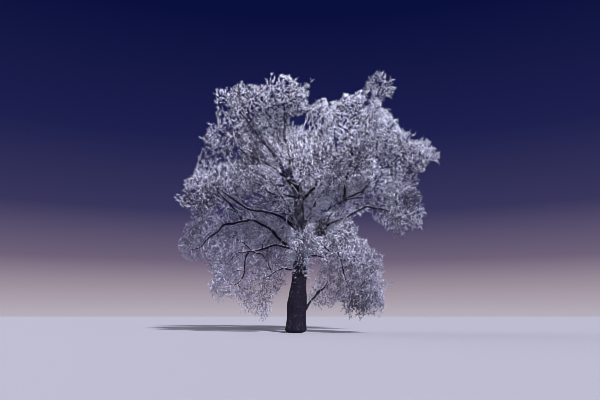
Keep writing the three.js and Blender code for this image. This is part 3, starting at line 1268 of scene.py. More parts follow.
    def strewn(self, spacing: float, evenness: float) -> tuple[np.ndarray, np.ndarray, np.ndarray]:
        """Strews points through the thicket, in clumps, more of them near its surface.

        Args:
            spacing: The distance between neighbours.
            evenness: How even they are, from 0, in clumps, to 1.

        Returns:
            The points, how deep in the thicket they are, and the number of the nearest mass.
        """
        low, high = np.array(cad_box[0]) - self.MARGIN, np.array(cad_box[1]) + self.MARGIN
        low[2] = self.LOWEST
        counts = np.ceil((high - low) / spacing).astype(int)
        cells = np.stack(np.meshgrid(*(np.arange(count) for count in counts), indexing="ij"), axis=-1)
        cells = cells.reshape(-1, 3)
        points = low + (cells + self.chance.random(cells.shape)) * spacing
        points = points[(points < high).all(axis=1)]
        in_mass = np.abs(points - self.middles[:, None]) < self.halves[:, None] * self.REACH
        points = points[in_mass.all(axis=2).any(axis=0) | self._in_sleeve(points)]
        depth, owner = self.fill(points)
        near = depth > self.LEVEL * self.NEAR
        points, depth, owner = points[near], depth[near] - self.LEVEL, owner[near]
        ragged = wavering(points, 1.9) + 0.6 * wavering(points, 0.75)
        depth = depth + self.RAGGED * ragged + self.FRINGED * wavering(points, 0.38)
        clump = wavering(points, 0.62) + 0.6 * wavering(points, 1.5, 9.0)
        full = np.array([habit.fullness for habit in self.habits])[owner]
        likely = full * (self.INNER + (1 - self.INNER) * np.exp(-np.clip(depth, 0, None) / self.SHELL))
        usual, swing = self.CLUMPS
        likely *= evenness + (1 - evenness) * np.clip(usual + swing * clump, 0, self.FULLEST)
        likely *= self._left_open(points)
        keep = (depth > 0) & (self.chance.random(len(points)) < likely)
        return points[keep], depth[keep], owner[keep]

    def _in_sleeve(self, points: np.ndarray) -> np.ndarray:
        """Says which points are near a bough."""
        return np.array([self.sleeves.find(point)[2] < self.SLEEVE for point in points])

    def _left_open(self, points: np.ndarray) -> np.ndarray:
        """Gives the share of the twigs that may stand at each point, for the openings and the clearings.

        Args:
            points: The points.

        Returns:
            One share for each point.
        """
        share, seen = np.ones(len(points)), self.eye.seen(points)
        for opening in (*self.OPENINGS, *self.EDGES):
            share[opening.apart(seen) < opening.radius] *= opening.kept
        for clearing in self.clearings:
            wood = self.eye.seen(clearing.points)
            apart = np.linalg.norm(seen[:, None, :] - wood[None, :, :], axis=2)
            nearest = apart.argmin(axis=1)
            in_front = points[:, 1] < clearing.points[nearest, 1] + self.BEHIND
            hides = (apart.min(axis=1) < clearing.width) & in_front
            share[hides] = np.minimum(share[hides], clearing.kept)
        return share


@dataclass
class Net:
    """Twigs as one branching net. Each point hangs on an earlier one, or on a root.

    Attributes:
        points: The points, one a row, every one after the point that it hangs on.
        parents: The number of the point that each hangs on, or -1 for a root.
        feet: Where each point's twig starts: its parent's place, or its root's.
        order: The number that each point had among the points that were joined.
        tip: The radius of a twig that carries a single end.
        thickening: The power of the number of ends by which a twig thickens.
        thickest: The greatest radius.
    """

    points: np.ndarray
    parents: np.ndarray
    feet: np.ndarray
    order: np.ndarray
    tip: float = 0.013
    thickening: float = 0.28
    thickest: float = 0.045

    BLOCK = 512

    @classmethod
    def grow(
        cls, points: np.ndarray, roots: np.ndarray, balance: float, upright: float, **thickness: float
    ) -> "Net":
        """Joins points into a net by the least sum of twig length and way from the root.

        Args:
            points: The points to reach.
            roots: The places where twigs may start.
            balance: How much the way from the root counts: more makes the twigs straighter.
            upright: How much height counts in a distance: less makes the twigs run up and down.
            **thickness: Values for tip, thickening and thickest.

        Returns:
            The net.
        """
        weigh = np.array((1.0, 1.0, upright))
        places, starts = points * weigh, roots * weigh
        nearest = np.empty(len(places), int)
        cost = np.empty(len(places))
        for first in range(0, len(places), cls.BLOCK):
            block = slice(first, first + cls.BLOCK)
            apart = np.linalg.norm(places[block, None, :] - starts[None, :, :], axis=2)
            nearest[block] = apart.argmin(axis=1)
            cost[block] = apart.min(axis=1)
        parents = np.full(len(places), -1)
        way = np.zeros(len(places))
        waiting = np.ones(len(places), bool)
        order = np.empty(len(places), int)
        for turn in range(len(places)):
            here = int(np.argmin(np.where(waiting, cost, np.inf)))
            waiting[here] = False
            order[turn] = here
            above = places[parents[here]] if parents[here] >= 0 else starts[nearest[here]]
            carried = way[parents[here]] if parents[here] >= 0 else 0.0
            way[here] = carried + np.linalg.norm(places[here] - above)
            offered = np.sqrt(((places - places[here]) ** 2).sum(axis=1)) + balance * way[here]
            better = waiting & (offered < cost)
            cost[better] = offered[better]
            parents[better] = here
        place_of = np.empty(len(places), int)
        place_of[order] = np.arange(len(places))
        parents = parents[order]
        parents = np.where(parents >= 0, place_of[parents], -1)
        points, nearest = points[order], nearest[order]
        feet = np.where(parents[:, None] >= 0, points[parents], roots[nearest])
        return cls(points, parents, feet, order, **thickness)

    def relax(self, amount: float, rounds: int) -> None:
        """Draws each point towards the middle of its neighbours, so that the twigs flow.

        Args:
            amount: How far a point moves, as a share of the way.
            rounds: How often that is done.
        """
        inner = self.parents >= 0
        for _ in range(rounds):
            below = np.zeros_like(self.points)
            count = np.zeros(len(self.points))
            np.add.at(below, self.parents[inner], self.points[inner])
            np.add.at(count, self.parents[inner], 1.0)
            carries = count > 0
            middle = (self.feet[carries] + below[carries] / count[carries, None]) / 2
            self.points[carries] += amount * (middle - self.points[carries])
            self.feet[inner] = self.points[self.parents[inner]]

    def tips(self) -> np.ndarray:
        """Counts the twig ends beyond each point.

        Returns:
            One count for each point, at least 1.
        """
        carries = np.zeros(len(self.points), bool)
        carries[self.parents[self.parents >= 0]] = True
        count = np.where(carries, 0.0, 1.0)
        for here in range(len(self.points) - 1, -1, -1):
            if self.parents[here] >= 0:
                count[self.parents[here]] += count[here]
        return count

    def radii(self) -> np.ndarray:
        """Gives the twig's radius at each point, from the number of ends that it carries."""
        return np.minimum(self.tip * self.tips() ** self.thickening, self.thickest)

    def chains(self) -> list[list[int]]:
        """Splits the net into twigs that each run on through the fullest branch.

        Returns:
            The numbers of each twig's points, from its foot to its end.
        """
        count = self.tips()
        heir = np.full(len(self.points), -1)
        for here in np.argsort(count, kind="stable"):
            if self.parents[here] >= 0:
                heir[self.parents[here]] = here
        started = [h for h in range(len(self.points)) if self.parents[h] < 0 or heir[self.parents[h]] != h]
        made = []
        for here in started:
            chain = [here]
            while heir[chain[-1]] >= 0:
                chain.append(int(heir[chain[-1]]))
            made.append(chain)
        return made


@dataclass
class Tubes:
    """Many thin closed tubes that taper to a point, gathered for one piece.

    Attributes:
        corners: The corners of all tubes so far, in blocks.
        faces: Blocks of faces that have the same number of corners.
        coats: The coat of each face, in the same blocks.
        count: The number of corners so far.
    """

    corners: list[np.ndarray] = field(default_factory=list)
    faces: list[np.ndarray] = field(default_factory=list)
    coats: list[np.ndarray] = field(default_factory=list)
    count: int = 0

    STEEP = 0.8
    RIMED_FROM = 0.6

    def add(self, lines: np.ndarray, radii: np.ndarray, coats: np.ndarray, sides: int, shaded: bool) -> None:
        """Adds tubes that all have the same number of points.

        Args:
            lines: The points of each tube, as tube, point and coordinate.
            radii: The radius at each point. The last point is the tube's tip.
            coats: The coat of each stretch of each tube.
            sides: The number of corners in a ring.
            shaded: Whether the faces that look down are bare.
        """
        many, long = lines.shape[:2]
        rings = self._rings(lines[:, :-1], radii[:, :-1], self._headings(lines)[:, :-1], sides)
        stride = (long - 1) * sides + 1
        block = np.concatenate((rings.reshape(many, -1, 3), lines[:, -1:]), axis=1)
        bases = self.count + np.arange(many)[:, None, None] * stride
        across = np.arange(sides)
        after = (across + 1) % sides
        ring = np.arange(long - 2)[:, None] * sides
        walls = np.stack((ring + across, ring + after, ring + sides + after, ring + sides + across), axis=-1)
        last = (long - 2) * sides
        points = np.stack((last + across, last + after, np.full(sides, stride - 1)), axis=-1)
        walls = (bases[..., None] + walls[None]).reshape(-1, 4)
        points = (bases + points[None]).reshape(-1, 3)
        lids = (bases[:, :, 0] + across[::-1][None]).reshape(-1, sides)
        wall_coats = np.repeat(coats[:, :-1].reshape(-1), sides)
        point_coats = np.repeat(coats[:, -1], sides)
        flat = block.reshape(-1, 3)
        if shaded:
            wall_coats = self._bare_below(flat, walls - self.count, wall_coats)
            point_coats = self._bare_below(flat, points - self.count, point_coats)
        self.corners.append(flat)
        self.faces += [walls, points, lids]
        self.coats += [wall_coats, point_coats, coats[:, 0]]
        self.count += many * stride

    @staticmethod
    def _headings(lines: np.ndarray) -> np.ndarray:
        """Gives the direction of each line at each of its points."""
        ends = np.concatenate((lines[:, :1], lines, lines[:, -1:]), axis=1)
        return unit(ends[:, 2:] - ends[:, :-2])

    @staticmethod
    def _rings(middles: np.ndarray, radii: np.ndarray, headings: np.ndarray, sides: int) -> np.ndarray:
        """Places a ring of corners round each point, turned as little as possible from one to the next.

        Args:
            middles: The rings' middles, as tube, point and coordinate.
            radii: Their radii.
            headings: The direction of the tube at each.
            sides: The number of corners in a ring.

        Returns:
            The corners, as tube, ring, corner and coordinate.
        """
        level = np.abs(headings[:, 0, 2:]) < Tubes.STEEP
        aside = np.cross(headings[:, 0], np.where(level, (0.0, 0.0, 1.0), (1.0, 0.0, 0.0)))
        turns = 2 * math.pi * (np.arange(sides) + 0.5) / sides - math.pi / 2
        made = np.empty((*middles.shape[:2], sides, 3))
        for ring in range(middles.shape[1]):
            heading = headings[:, ring]
            aside = unit(aside - (aside * heading).sum(axis=1, keepdims=True) * heading)
            over = np.cross(aside, heading)
            out = np.cos(turns)[None, :, None] * aside[:, None] - np.sin(turns)[None, :, None] * over[:, None]
            made[:, ring] = middles[:, ring, None] + out * radii[:, ring, None, None]
        return made

    @staticmethod
    def _bare_below(corners: np.ndarray, faces: np.ndarray, coats: np.ndarray) -> np.ndarray:
        """Takes the rime off the faces that look down.

        Args:
            corners: The corners.
            faces: The faces' corner numbers.
            coats: The faces' coats.

        Returns:
            The new coats.
        """
        first, second, third = (corners[faces[:, i]] for i in range(3))
        normal = np.cross(second - first, third - first)
        steep = normal[:, 2] / np.maximum(np.linalg.norm(normal, axis=1), 1e-12)
        return np.where(steep < Tubes.RIMED_FROM, Coat.BARE.value, np.maximum(coats, Coat.GREY.value))

    def piece(self, name: str, materials: list[bpy.types.Material]) -> bpy.types.Object:
        """Makes one piece of all the tubes.

        Args:
            name: The piece's name.
            materials: One material for each coat.

        Returns:
            The piece.
        """
        mesh = bpy.data.meshes.new(name)
        corners = np.concatenate(self.corners)
        loops = np.concatenate([block.ravel() for block in self.faces])
        sizes = np.concatenate([np.full(len(block), block.shape[1]) for block in self.faces])
        mesh.vertices.add(len(corners))
        mesh.vertices.foreach_set("co", corners.astype(np.float32).ravel())
        mesh.loops.add(len(loops))
        mesh.loops.foreach_set("vertex_index", loops.astype(np.int32))
        mesh.polygons.add(len(sizes))
        mesh.polygons.foreach_set("loop_start", np.concatenate(([0], np.cumsum(sizes)[:-1])).astype(np.int32))
        mesh.polygons.foreach_set("material_index", np.concatenate(self.coats).astype(np.int32))
        mesh.polygons.foreach_set("use_smooth", np.ones(len(sizes), bool))
        for material in materials:
            mesh.materials.append(material)
        mesh.update(calc_edges=True)
        return add_object(name, mesh)


@dataclass
class Burr:
    """The knotted burr on the great bough.

    Attributes:
        place: Its middle.
        radius: Its radius, before it is drawn out.
        stretch: How far it is drawn out to the right, back and up.
        finish: The finish of its bark.
        knobs: The number of its knobs.
        voxel: The size of the grid on which the knobs grow together.
        reliefs: Its swellings and its furrows.
    """

    place: Place
    radius: float
    stretch: Place
    finish: BarkFinish
    knobs: int = 16
    voxel: float = 0.04
    reliefs: tuple[Relief, ...] = (
        Relief(Pattern.SWELLINGS, 0.4, 0.3, 1.3),
        Relief(Pattern.FURROWS, 0.16, 0.12, 1.5),
    )

    TURN = 2.4
    SUNK = 0.9
    SMALLEST = 0.3
    SIZE_STEP = 0.06

    def build(self) -> bpy.types.Object:
        """Models the burr from a ball set with knobs, which are grown together and furrowed all over.

        Returns:
            The finished piece.
        """
        deselect_all()
        bpy.ops.mesh.primitive_ico_sphere_add(
            subdivisions=4, radius=self.radius, location=self.place, scale=self.stretch
        )
        piece = bpy.context.object
        piece.name = "great_burr"
        balls = [piece]
        for number in range(self.knobs):
            up = 1.0 - 2.0 * (number + 0.5) / self.knobs
            turn = self.TURN * number
            out = Vector((math.cos(turn), math.sin(turn), 0.0)) * math.sqrt(1.0 - up * up) + UP * up
            place = Vector(self.place) + out * Vector(self.stretch) * self.radius * self.SUNK
            size = self.radius * (self.SMALLEST + self.SIZE_STEP * (number * 7 % 5))
            bpy.ops.mesh.primitive_ico_sphere_add(subdivisions=3, radius=size, location=place)
            balls.append(bpy.context.object)
        for ball in balls:
            ball.select_set(True)
        bpy.context.view_layer.objects.active = piece
        bpy.ops.object.join()
        bpy.ops.object.transform_apply(location=True, rotation=True, scale=True)
        piece.data.remesh_voxel_size = self.voxel
        bpy.ops.object.voxel_remesh()
        for relief in self.reliefs:
            relief.press(piece, UP)
        finish_wood(piece, self.finish)
        hand_over(piece, [])
        return piece


@dataclass
class Fringe:
    """The thin crest of rime that stands on the upper side of every bough.

    Attributes:
        lines: The boughs' lines.
        spacing: The distance from one spike of rime to the next.
        height: How high the spikes stand.
        radius: Their radius at the foot.
        chance: The source of all random choices.
    """

    lines: list[LimbLine]
    spacing: float = 0.06
    height: float = 0.10
    radius: float = 0.02
    chance: np.random.Generator = field(default_factory=lambda: np.random.default_rng(SEED + 1))

    COATS = (Coat.WHITE.value, Coat.THICK.value, Coat.GREY.value)
    LEAN = 0.5
    SPREAD = 0.45
    PATCH = 0.5
    LEVEL_POWER = 1.5
    SUNK = 0.9

    def build(self) -> bpy.types.Object:
        """Sets the spikes on the boughs, closest on those that lie level.

        Returns:
            The finished piece.
        """
        rows = [self._row(line) for line in self.lines]
        feet, ways = (np.concatenate(part) for part in zip(*rows))
        lean = unit(ways + self.LEAN * self.chance.normal(0.0, 1.0, ways.shape))
        height = self.height * self.chance.uniform(0.4, 1.3, (len(feet), 1))
        middle = feet + ways * height * 0.5
        lines = np.stack((feet, middle, middle + lean * height * 0.6), axis=1)
        wide = self.radius * self.chance.uniform(0.7, 1.3, (len(feet), 1)) * np.array((1.0, 0.9, 0.0))
        tubes = Tubes()
        coats = self.chance.choice(self.COATS, (len(feet), 1))
        tubes.add(lines, wide, np.repeat(coats, 2, axis=1), 3, False)
        piece = tubes.piece("bough_rime", TwigFinish().materials())
        hand_over(piece, [])
        return piece

    def _row(self, line: LimbLine) -> tuple[np.ndarray, np.ndarray]:
        """Finds where the spikes of one bough stand.

        Args:
            line: The bough's line.

        Returns:
            Their feet, and the ways that they point.
        """
        way = np.diff(line.points, axis=0)
        lengths = np.linalg.norm(way, axis=1)
        counts = np.maximum(1, np.round(lengths / self.spacing)).astype(int)
        number = np.repeat(np.arange(len(way)), counts)
        share = self.chance.random(len(number))[:, None]
        middles = line.points[number] + way[number] * share
        radii = line.radii[number] + (line.radii[number + 1] - line.radii[number]) * share[:, 0]
        heading = unit(way)[number]
        side = unit(np.cross(heading, (0.0, 0.0, 1.0)))
        up = np.cross(side, heading)
        turn = self.chance.normal(0.0, self.SPREAD, (len(number), 1))
        out = up * np.cos(turn) + side * np.sin(turn)
        likely = up[:, 2] ** self.LEVEL_POWER * np.clip(0.5 + 2.0 * wavering(middles, self.PATCH), 0.0, 1.0)
        stands = self.chance.random(len(number)) < likely
        return (middles + out * (radii[:, None] * self.SUNK))[stands], out[stands]


@dataclass
class Crown:
    """All the twigs: branchlets, the twigs on them, and the short pointed shoots on those.

    Attributes:
        lines: The boughs' lines.
        clearings: The stretches of wood that stay in sight.
        trunk: The trunk's shape.
        eye: The camera, for the openings in the crown.
        chance: The source of all random choices.
    """

    lines: list[LimbLine]
    clearings: list[Clearing]
    trunk: TrunkShape
    eye: Eye
    chance: np.random.Generator = field(default_factory=lambda: np.random.default_rng(SEED))

    BRANCH_SPACING = 1.15
    TWIG_SPACING = 0.34
    SHOOT = 0.28
    SHOOT_RADIUS = 0.028
    SHOOTS_EACH = 5.0
    SHOOTS_AT_TIP = 3.0
    CROOK = 0.09
    CROOK_BEND = 1.7
    THICK_FROM = 0.03

    COAT_FROM = ((0.80, Coat.WHITE), (0.60, Coat.THICK), (0.40, Coat.GREY), (0.20, Coat.THIN))
    SPRAY_SIZE = 0.8
    SPRAY_LIFT = 0.15
    LIFT = 0.06
    SHADED_FROM = 0.3
    PAINTED_PATCH_CONTRAST = 0.6

    ALONG, OUTWARD, FLOW, HANG, STRAY = 0.8, 0.3, 0.3, 0.3, 0.6
    FLOW_SIZE = 1.1

    TRUNK_HEIGHTS = (4.4, 10.0, 0.05)
    TRUNK_MIDDLE = 8.0
    TRUNK_SPREAD = 1.8
    TRUNK_SHOOTS = 14.0
    TRUNK_REACH = (0.1, 0.8, 1.5)
    TRUNK_SUNK = 0.06

    HABITS = {
        "top_left_mass": Habit(0.72, 0.86, -0.45, 1.2, 0.9),
        "top_middle_mass": Habit(0.8, 0.98, -0.45, 1.15, 0.9),
        "inner_left_mass": Habit(0.8, 0.70, -0.3, 1.1, 0.65),
        "upper_left_mass": Habit(0.9, 0.50, -0.4, 1.05, 0.42),
        "left_shoulder_mass": Habit(1.0, 0.74, -0.3, 1.0, 0.45),
        "left_arch_mass": Habit(1.8, 0.52, 0.5, 0.5, 0.22),
        "left_hanging_mass": Habit(1.8, 0.58, 0.8, 0.45, 0.2),
        "low_left_mass": Habit(2.2, 0.50, 0.7, 0.45, 0.25),
        "middle_left_mass": Habit(1.0, 0.50, -0.2, 1.0, 0.45),
        "centre_mass": Habit(1.0, 1.08, -0.4, 1.1, 0.9),
        "right_crest_mass": Habit(1.0, 1.45, -0.5, 1.2, 0.8),
        "right_sprig_mass": Habit(0.72, 0.52, -0.5, 1.1, 0.7),
        "right_peak_mass": Habit(0.95, 1.05, -0.4, 1.2, 0.7),
        "right_shoulder_mass": Habit(1.1, 0.92, 0.2, 1.1, 0.55),
        "far_right_mass": Habit(1.1, 0.78, 0.3, 1.0, 0.5),
        "right_hanging_mass": Habit(1.4, 0.58, 0.7, 0.75, 0.35),
        "right_middle_mass": Habit(1.0, 0.47, 0.1, 1.0, 0.4),
        "right_fall_mass": Habit(1.5, 0.84, 0.4, 0.8, 0.42),
        "right_weeping_mass": Habit(2.2, 0.52, 0.8, 0.55, 0.25),
        "low_right_mass": Habit(2.2, 0.60, 0.7, 0.5, 0.25),
        "front_fork_mass": Habit(1.2, 0.66, 0.1, 0.75, 0.35),
        "front_left_mass": Habit(0.9, 0.56, -0.2, 1.0, 0.5),
        "front_middle_mass": Habit(0.9, 0.78, -0.2, 1.1, 0.55),
        "front_right_mass": Habit(0.9, 0.56, -0.2, 1.0, 0.5),
        "back_low_left_mass": Habit(1.4, 0.52, 0.4, 0.6, 0.2),
        "back_low_right_mass": Habit(1.4, 0.52, 0.4, 0.6, 0.2),
    }

    # Patches of painted light, with a lift above 0, and of painted shade, with a lift below 0.
    PAINTED_PATCHES = (
        PaintedPatch(2.7, 11.9, 1.5, 0.60), PaintedPatch(0.4, 10.9, 1.1, 0.25), PaintedPatch(3.4, 10.9, 0.8, 0.40),
        PaintedPatch(-1.1, 12.8, 0.8, 0.22), PaintedPatch(-2.3, 16.0, 1.5, 0.30), PaintedPatch(-2.0, 10.5, 2.0, 0.12),
        PaintedPatch(-7.2, 11.3, 1.2, 0.18), PaintedPatch(5.2, 20.3, 1.2, 0.55), PaintedPatch(0.8, 17.4, 0.9, 0.18),
        PaintedPatch(-2.2, 20.9, 1.3, 0.32), PaintedPatch(-4.4, 22.6, 1.0, 0.30), PaintedPatch(8.8, 15.6, 1.2, 0.25),
        PaintedPatch(9.7, 13.2, 0.8, 0.20), PaintedPatch(6.0, 7.0, 1.0, 0.12), PaintedPatch(8.2, 24.6, 0.9, 0.45),
        PaintedPatch(-8.3, 16.8, 0.9, 0.30), PaintedPatch(-1.2, 9.3, 1.0, 0.20), PaintedPatch(5.2, 14.3, 1.1, 0.20),
        PaintedPatch(1.6, 19.7, 1.1, -0.30), PaintedPatch(2.7, 17.6, 1.1, -0.30), PaintedPatch(6.9, 18.0, 1.5, -0.30),
        PaintedPatch(-4.2, 18.2, 2.0, -0.32), PaintedPatch(-8.1, 15.3, 0.9, -0.25), PaintedPatch(-1.3, 4.4, 1.0, -0.25),
        PaintedPatch(-9.2, 12.2, 1.5, -0.30), PaintedPatch(-11.4, 13.2, 1.0, -0.25), PaintedPatch(-10.9, 9.9, 1.2, -0.2),
        PaintedPatch(5.5, 2.0, 1.6, -0.40), PaintedPatch(0.8, 8.8, 1.2, -0.15), PaintedPatch(11.9, 13.2, 1.2, -0.35),
        PaintedPatch(13.0, 16.6, 1.4, -0.25), PaintedPatch(5.8, 10.4, 1.0, -0.30),
    )

    REGIONS = {
        "top_twigs": ("top_left_mass", "top_middle_mass", "inner_left_mass", "upper_left_mass"),
        "left_twigs": ("left_shoulder_mass", "middle_left_mass", "centre_mass", "left_arch_mass"),
        "low_twigs": ("left_hanging_mass", "low_left_mass", "low_right_mass", "front_fork_mass"),
        "crest_twigs": ("right_crest_mass", "right_peak_mass", "right_sprig_mass", "right_shoulder_mass"),
        "right_twigs": ("far_right_mass", "right_hanging_mass", "right_middle_mass"),
        "low_right_twigs": ("right_fall_mass", "right_weeping_mass"),
        "front_twigs": ("front_left_mass", "front_middle_mass", "front_right_mass"),
        "back_twigs": ("back_left_mass", "back_crown_mass", "back_right_mass"),
        "low_back_twigs": ("back_middle_mass", "back_low_left_mass", "back_low_right_mass"),
    }

    def __post_init__(self) -> None:
        """Makes the thicket and the materials."""
        self.names = [mass for masses in self.REGIONS.values() for mass in masses]
        habits = [self.HABITS.get(name, Habit()) for name in self.names]
        self.thicket = Thicket(self.names, habits, self.lines, self.clearings, self.eye, self.chance)
        self.rime = np.array([habit.rime for habit in habits])
        self.hang = np.array([habit.hang for habit in habits])
        self.thick = np.array([habit.thick for habit in habits])
        self.contrast = np.array([habit.contrast for habit in habits])
        self.materials = TwigFinish().materials()

    def build(self) -> list[bpy.types.Object]:
        """Grows the branchlets, the twigs of every region and the trunk's own shoots.

        Returns:
            The finished pieces.
        """
        branches, bases = self._branchlets()
        made = [branches]
        points, depth, owner = self.thicket.strewn(self.TWIG_SPACING, 0.82)
        for region, masses in self.REGIONS.items():
            mine = np.isin(owner, [self.names.index(mass) for mass in masses])
            net = Net.grow(points[mine], bases, balance=0.4, upright=0.85)
            near, mass = depth[mine][net.order], owner[mine][net.order]
            net.relax(0.45, 1)
            tubes = Tubes()
            self._clothe(tubes, net, near, mass, 1)
            self._shoots(tubes, net, near, mass)
            made.append(self._piece(tubes, region, list(masses)))
        made.append(self._shoots_on_trunk())
        return made

    def _piece(self, tubes: Tubes, name: str, nodes: list[str]) -> bpy.types.Object:
        """Makes a piece of tubes and hands it over.

        Args:
            tubes: The tubes.
            name: The piece's name.
            nodes: The CAD nodes that it replaces.

        Returns:
            The finished piece.
        """
        piece = tubes.piece(name, self.materials)
        hand_over(piece, nodes)
        return piece

    def _branchlets(self) -> tuple[bpy.types.Object, np.ndarray]:
        """Grows the crooked branchlets that lead from the boughs into the masses.

        Returns:
            The finished piece, and the places on branchlets and boughs where twigs may start.
        """
        points, depth, owner = self.thicket.strewn(self.BRANCH_SPACING, 1.0)
        roots = np.concatenate([line.outer(0.3).points for line in self.lines])
        net = Net.grow(points, roots, balance=0.45, upright=0.9, tip=0.024, thickening=0.36, thickest=0.095)
        net.relax(0.4, 1)
        tubes = Tubes()
        lines = self._clothe(tubes, net, depth[net.order], owner[net.order], 4)
        return self._piece(tubes, "branchlets", []), np.concatenate((roots, *lines))

    def _clothe(
        self, tubes: Tubes, net: Net, depth: np.ndarray, owner: np.ndarray, steps: int
    ) -> list[np.ndarray]:
        """Turns a net into smooth crooked twigs.

        Args:
            tubes: The piece that they are added to.
            net: The net.
            depth: How deep in the thicket its points are.
            owner: The number of the mass that each is in.
            steps: The number of stretches from one point to the next.

        Returns:
            The points of each twig.
        """
        radii = net.radii()
        coats = self._coats(net.points, depth, owner)
        groups: dict[tuple[int, bool], list[tuple[np.ndarray, np.ndarray, np.ndarray]]] = {}
        for chain in net.chains():
            knots = np.vstack((net.feet[chain[0]], net.points[chain]))
            wide = np.concatenate(([radii[chain[0]]], radii[chain]))
            line, wide = self._flowing(knots, wide, steps)
            thick = bool(wide[0] > self.THICK_FROM)
            groups.setdefault((len(line), thick), []).append((line, wide, np.repeat(coats[chain], steps)))
        for (_, thick), group in sorted(groups.items(), key=lambda item: item[0]):
            lines, wide, shades = (np.array(part) for part in zip(*group))
            tubes.add(lines, wide, shades, 5 if thick else 3, thick)
        return [line for group in groups.values() for line, _, _ in group]

    @staticmethod
    def _flowing(knots: np.ndarray, wide: np.ndarray, steps: int) -> tuple[np.ndarray, np.ndarray]:
        """Lays a smooth crooked line through knots.

        Args:
            knots: The knots.
            wide: The radius at each.
            steps: The number of stretches from one knot to the next.

        Returns:
            The line's points, and the radius at each.
        """
        ends = np.vstack((2 * knots[0] - knots[1], knots, 2 * knots[-1] - knots[-2]))
        a, b, c, d = ends[:-3, None], ends[1:-2, None], ends[2:-1, None], ends[3:, None]
        line = between(a, b, c, d, (np.arange(steps) / steps)[None, :, None])
        line = np.vstack((line.reshape(-1, 3), knots[-1:]))
        crook = np.array([noise.noise_vector(Vector(point) * Crown.CROOK_BEND) for point in line])
        crook[0] = 0.0
        at = np.arange(len(line)) / steps
        return line + Crown.CROOK * crook, np.interp(at, np.arange(len(wide)), wide)

    def _coats(self, points: np.ndarray, depth: np.ndarray, owner: np.ndarray) -> np.ndarray:
        """Chooses a coat of rime for each point: alike within a spray, darker deep inside, which is painted
        shade as well as thinner rime, and lighter or darker in the painted patches.

        Args:
            points: The points.
            depth: How deep in the thicket they are.
            owner: The number of the mass that each is in.

        Returns:
            The coats as numbers.
        """
        spray = self.SPRAY_LIFT * wavering(points, self.SPRAY_SIZE)
        # Painted shade: twigs deep in the thicket get darker coats, as if shaded by those outside them; the
        # rime is also thinner there.
        shade = self.contrast[owner] * np.clip(depth / self.SHADED_FROM, 0, 1)
        level = self.rime[owner] + self.LIFT + spray - shade
        seen = self.eye.seen(points)
        # Painted light and shade: the patches lift the coats where the crown is to look lit and lower them
        # where it is to look shaded.
        lift = np.zeros(len(points))
        for painted_patch in self.PAINTED_PATCHES:
            away = ((seen - (painted_patch.across, painted_patch.up)) ** 2).sum(axis=1) / painted_patch.radius**2
            lift += painted_patch.lift * np.exp(-away)
        # In the painted light the coats also spread wider, so that the twigs keep their grain.
        varied = self.contrast[owner] + self.PAINTED_PATCH_CONTRAST * np.clip(lift, 0.0, None)
        level = level + lift + varied * self.chance.normal(0.0, 1.0, len(points))
        passed = [level > start for start, _ in self.COAT_FROM]
        return np.select(passed, [coat.value for _, coat in self.COAT_FROM], Coat.BARE.value)

    def _shoots(self, tubes: Tubes, net: Net, depth: np.ndarray, owner: np.ndarray) -> None:
        """Sets short pointed shoots on the twigs. Those of a spray point the same way.

        Args:
            tubes: The piece that they are added to.
            net: The twigs.
            depth: How deep in the thicket its points are.
            owner: The number of the mass that each is in.
        """
        tips = net.tips() == 1
        each = self.SHOOTS_EACH + tips * self.SHOOTS_AT_TIP
        bearers = np.repeat(np.arange(len(net.points)), self.chance.poisson(each))
        many = len(bearers)
        points, feet = net.points[bearers], net.feet[bearers]
        start = points + (feet - points) * self.chance.random((many, 1)) * 0.8
        middles, halves = self.thicket.middles[owner[bearers]], self.thicket.halves[owner[bearers]]
        flow = np.array([noise.noise_vector(Vector(point) / self.FLOW_SIZE) for point in points])
        turn = self.hang[owner[bearers]][:, None] * np.array((0.0, 0.0, -1.0))
        out = self.ALONG * unit(points - feet) + self.OUTWARD * unit((points - middles) / halves)
        out = out + self.FLOW * flow + self.HANG * turn
        out = unit(out + self.STRAY * self.chance.normal(0.0, 1.0, (many, 3)))
        length = self.SHOOT * self.chance.uniform(0.5, 1.5, (many, 1))
        lines = np.stack((start - 0.1 * length * out, start + length * out), axis=1)
        thick = self.thick[owner[bearers]] * self.chance.uniform(0.7, 1.3, many)
        wide = self.SHOOT_RADIUS * np.column_stack((thick, np.zeros(many)))
        coats = self._coats(start, depth[bearers], owner[bearers])
        tubes.add(lines, wide, coats[:, None], 3, False)

    def _shoots_on_trunk(self) -> bpy.types.Object:
        """Grows the short twigs that stand on the trunk.

        Returns:
            The finished piece.
        """
        places, starts = [], []
        nearest, further, power = self.TRUNK_REACH
        for up in np.arange(*self.TRUNK_HEIGHTS):
            full = math.exp(-(((up - self.TRUNK_MIDDLE) / self.TRUNK_SPREAD) ** 2))
            middle = self.trunk.middle(up)
            for _ in range(self.chance.poisson(self.TRUNK_SHOOTS * full)):
                angle = self.chance.uniform(0, 2 * math.pi)
                out = Vector((math.cos(angle), math.sin(angle), 0.0))
                wood = self.trunk.radius(up, angle)
                starts.append(middle + out * (wood - self.TRUNK_SUNK))
                reach = wood + nearest + further * self.chance.random() ** power
                places.append(middle + out * reach + Vector((0, 0, self.chance.uniform(-0.35, 0.3))))
        alone = np.full(len(places), -1)
        net = Net(np.array(places), alone, np.array(starts), np.arange(len(places)))
        owner = np.full(len(net.points), self.names.index("low_right_mass"))
        depth = np.zeros(len(net.points))
        tubes = Tubes()
        self._clothe(tubes, net, depth, owner, 2)
        self._shoots(tubes, net, depth, owner)
        return self._piece(tubes, "trunk_shoots", [])


# The studio


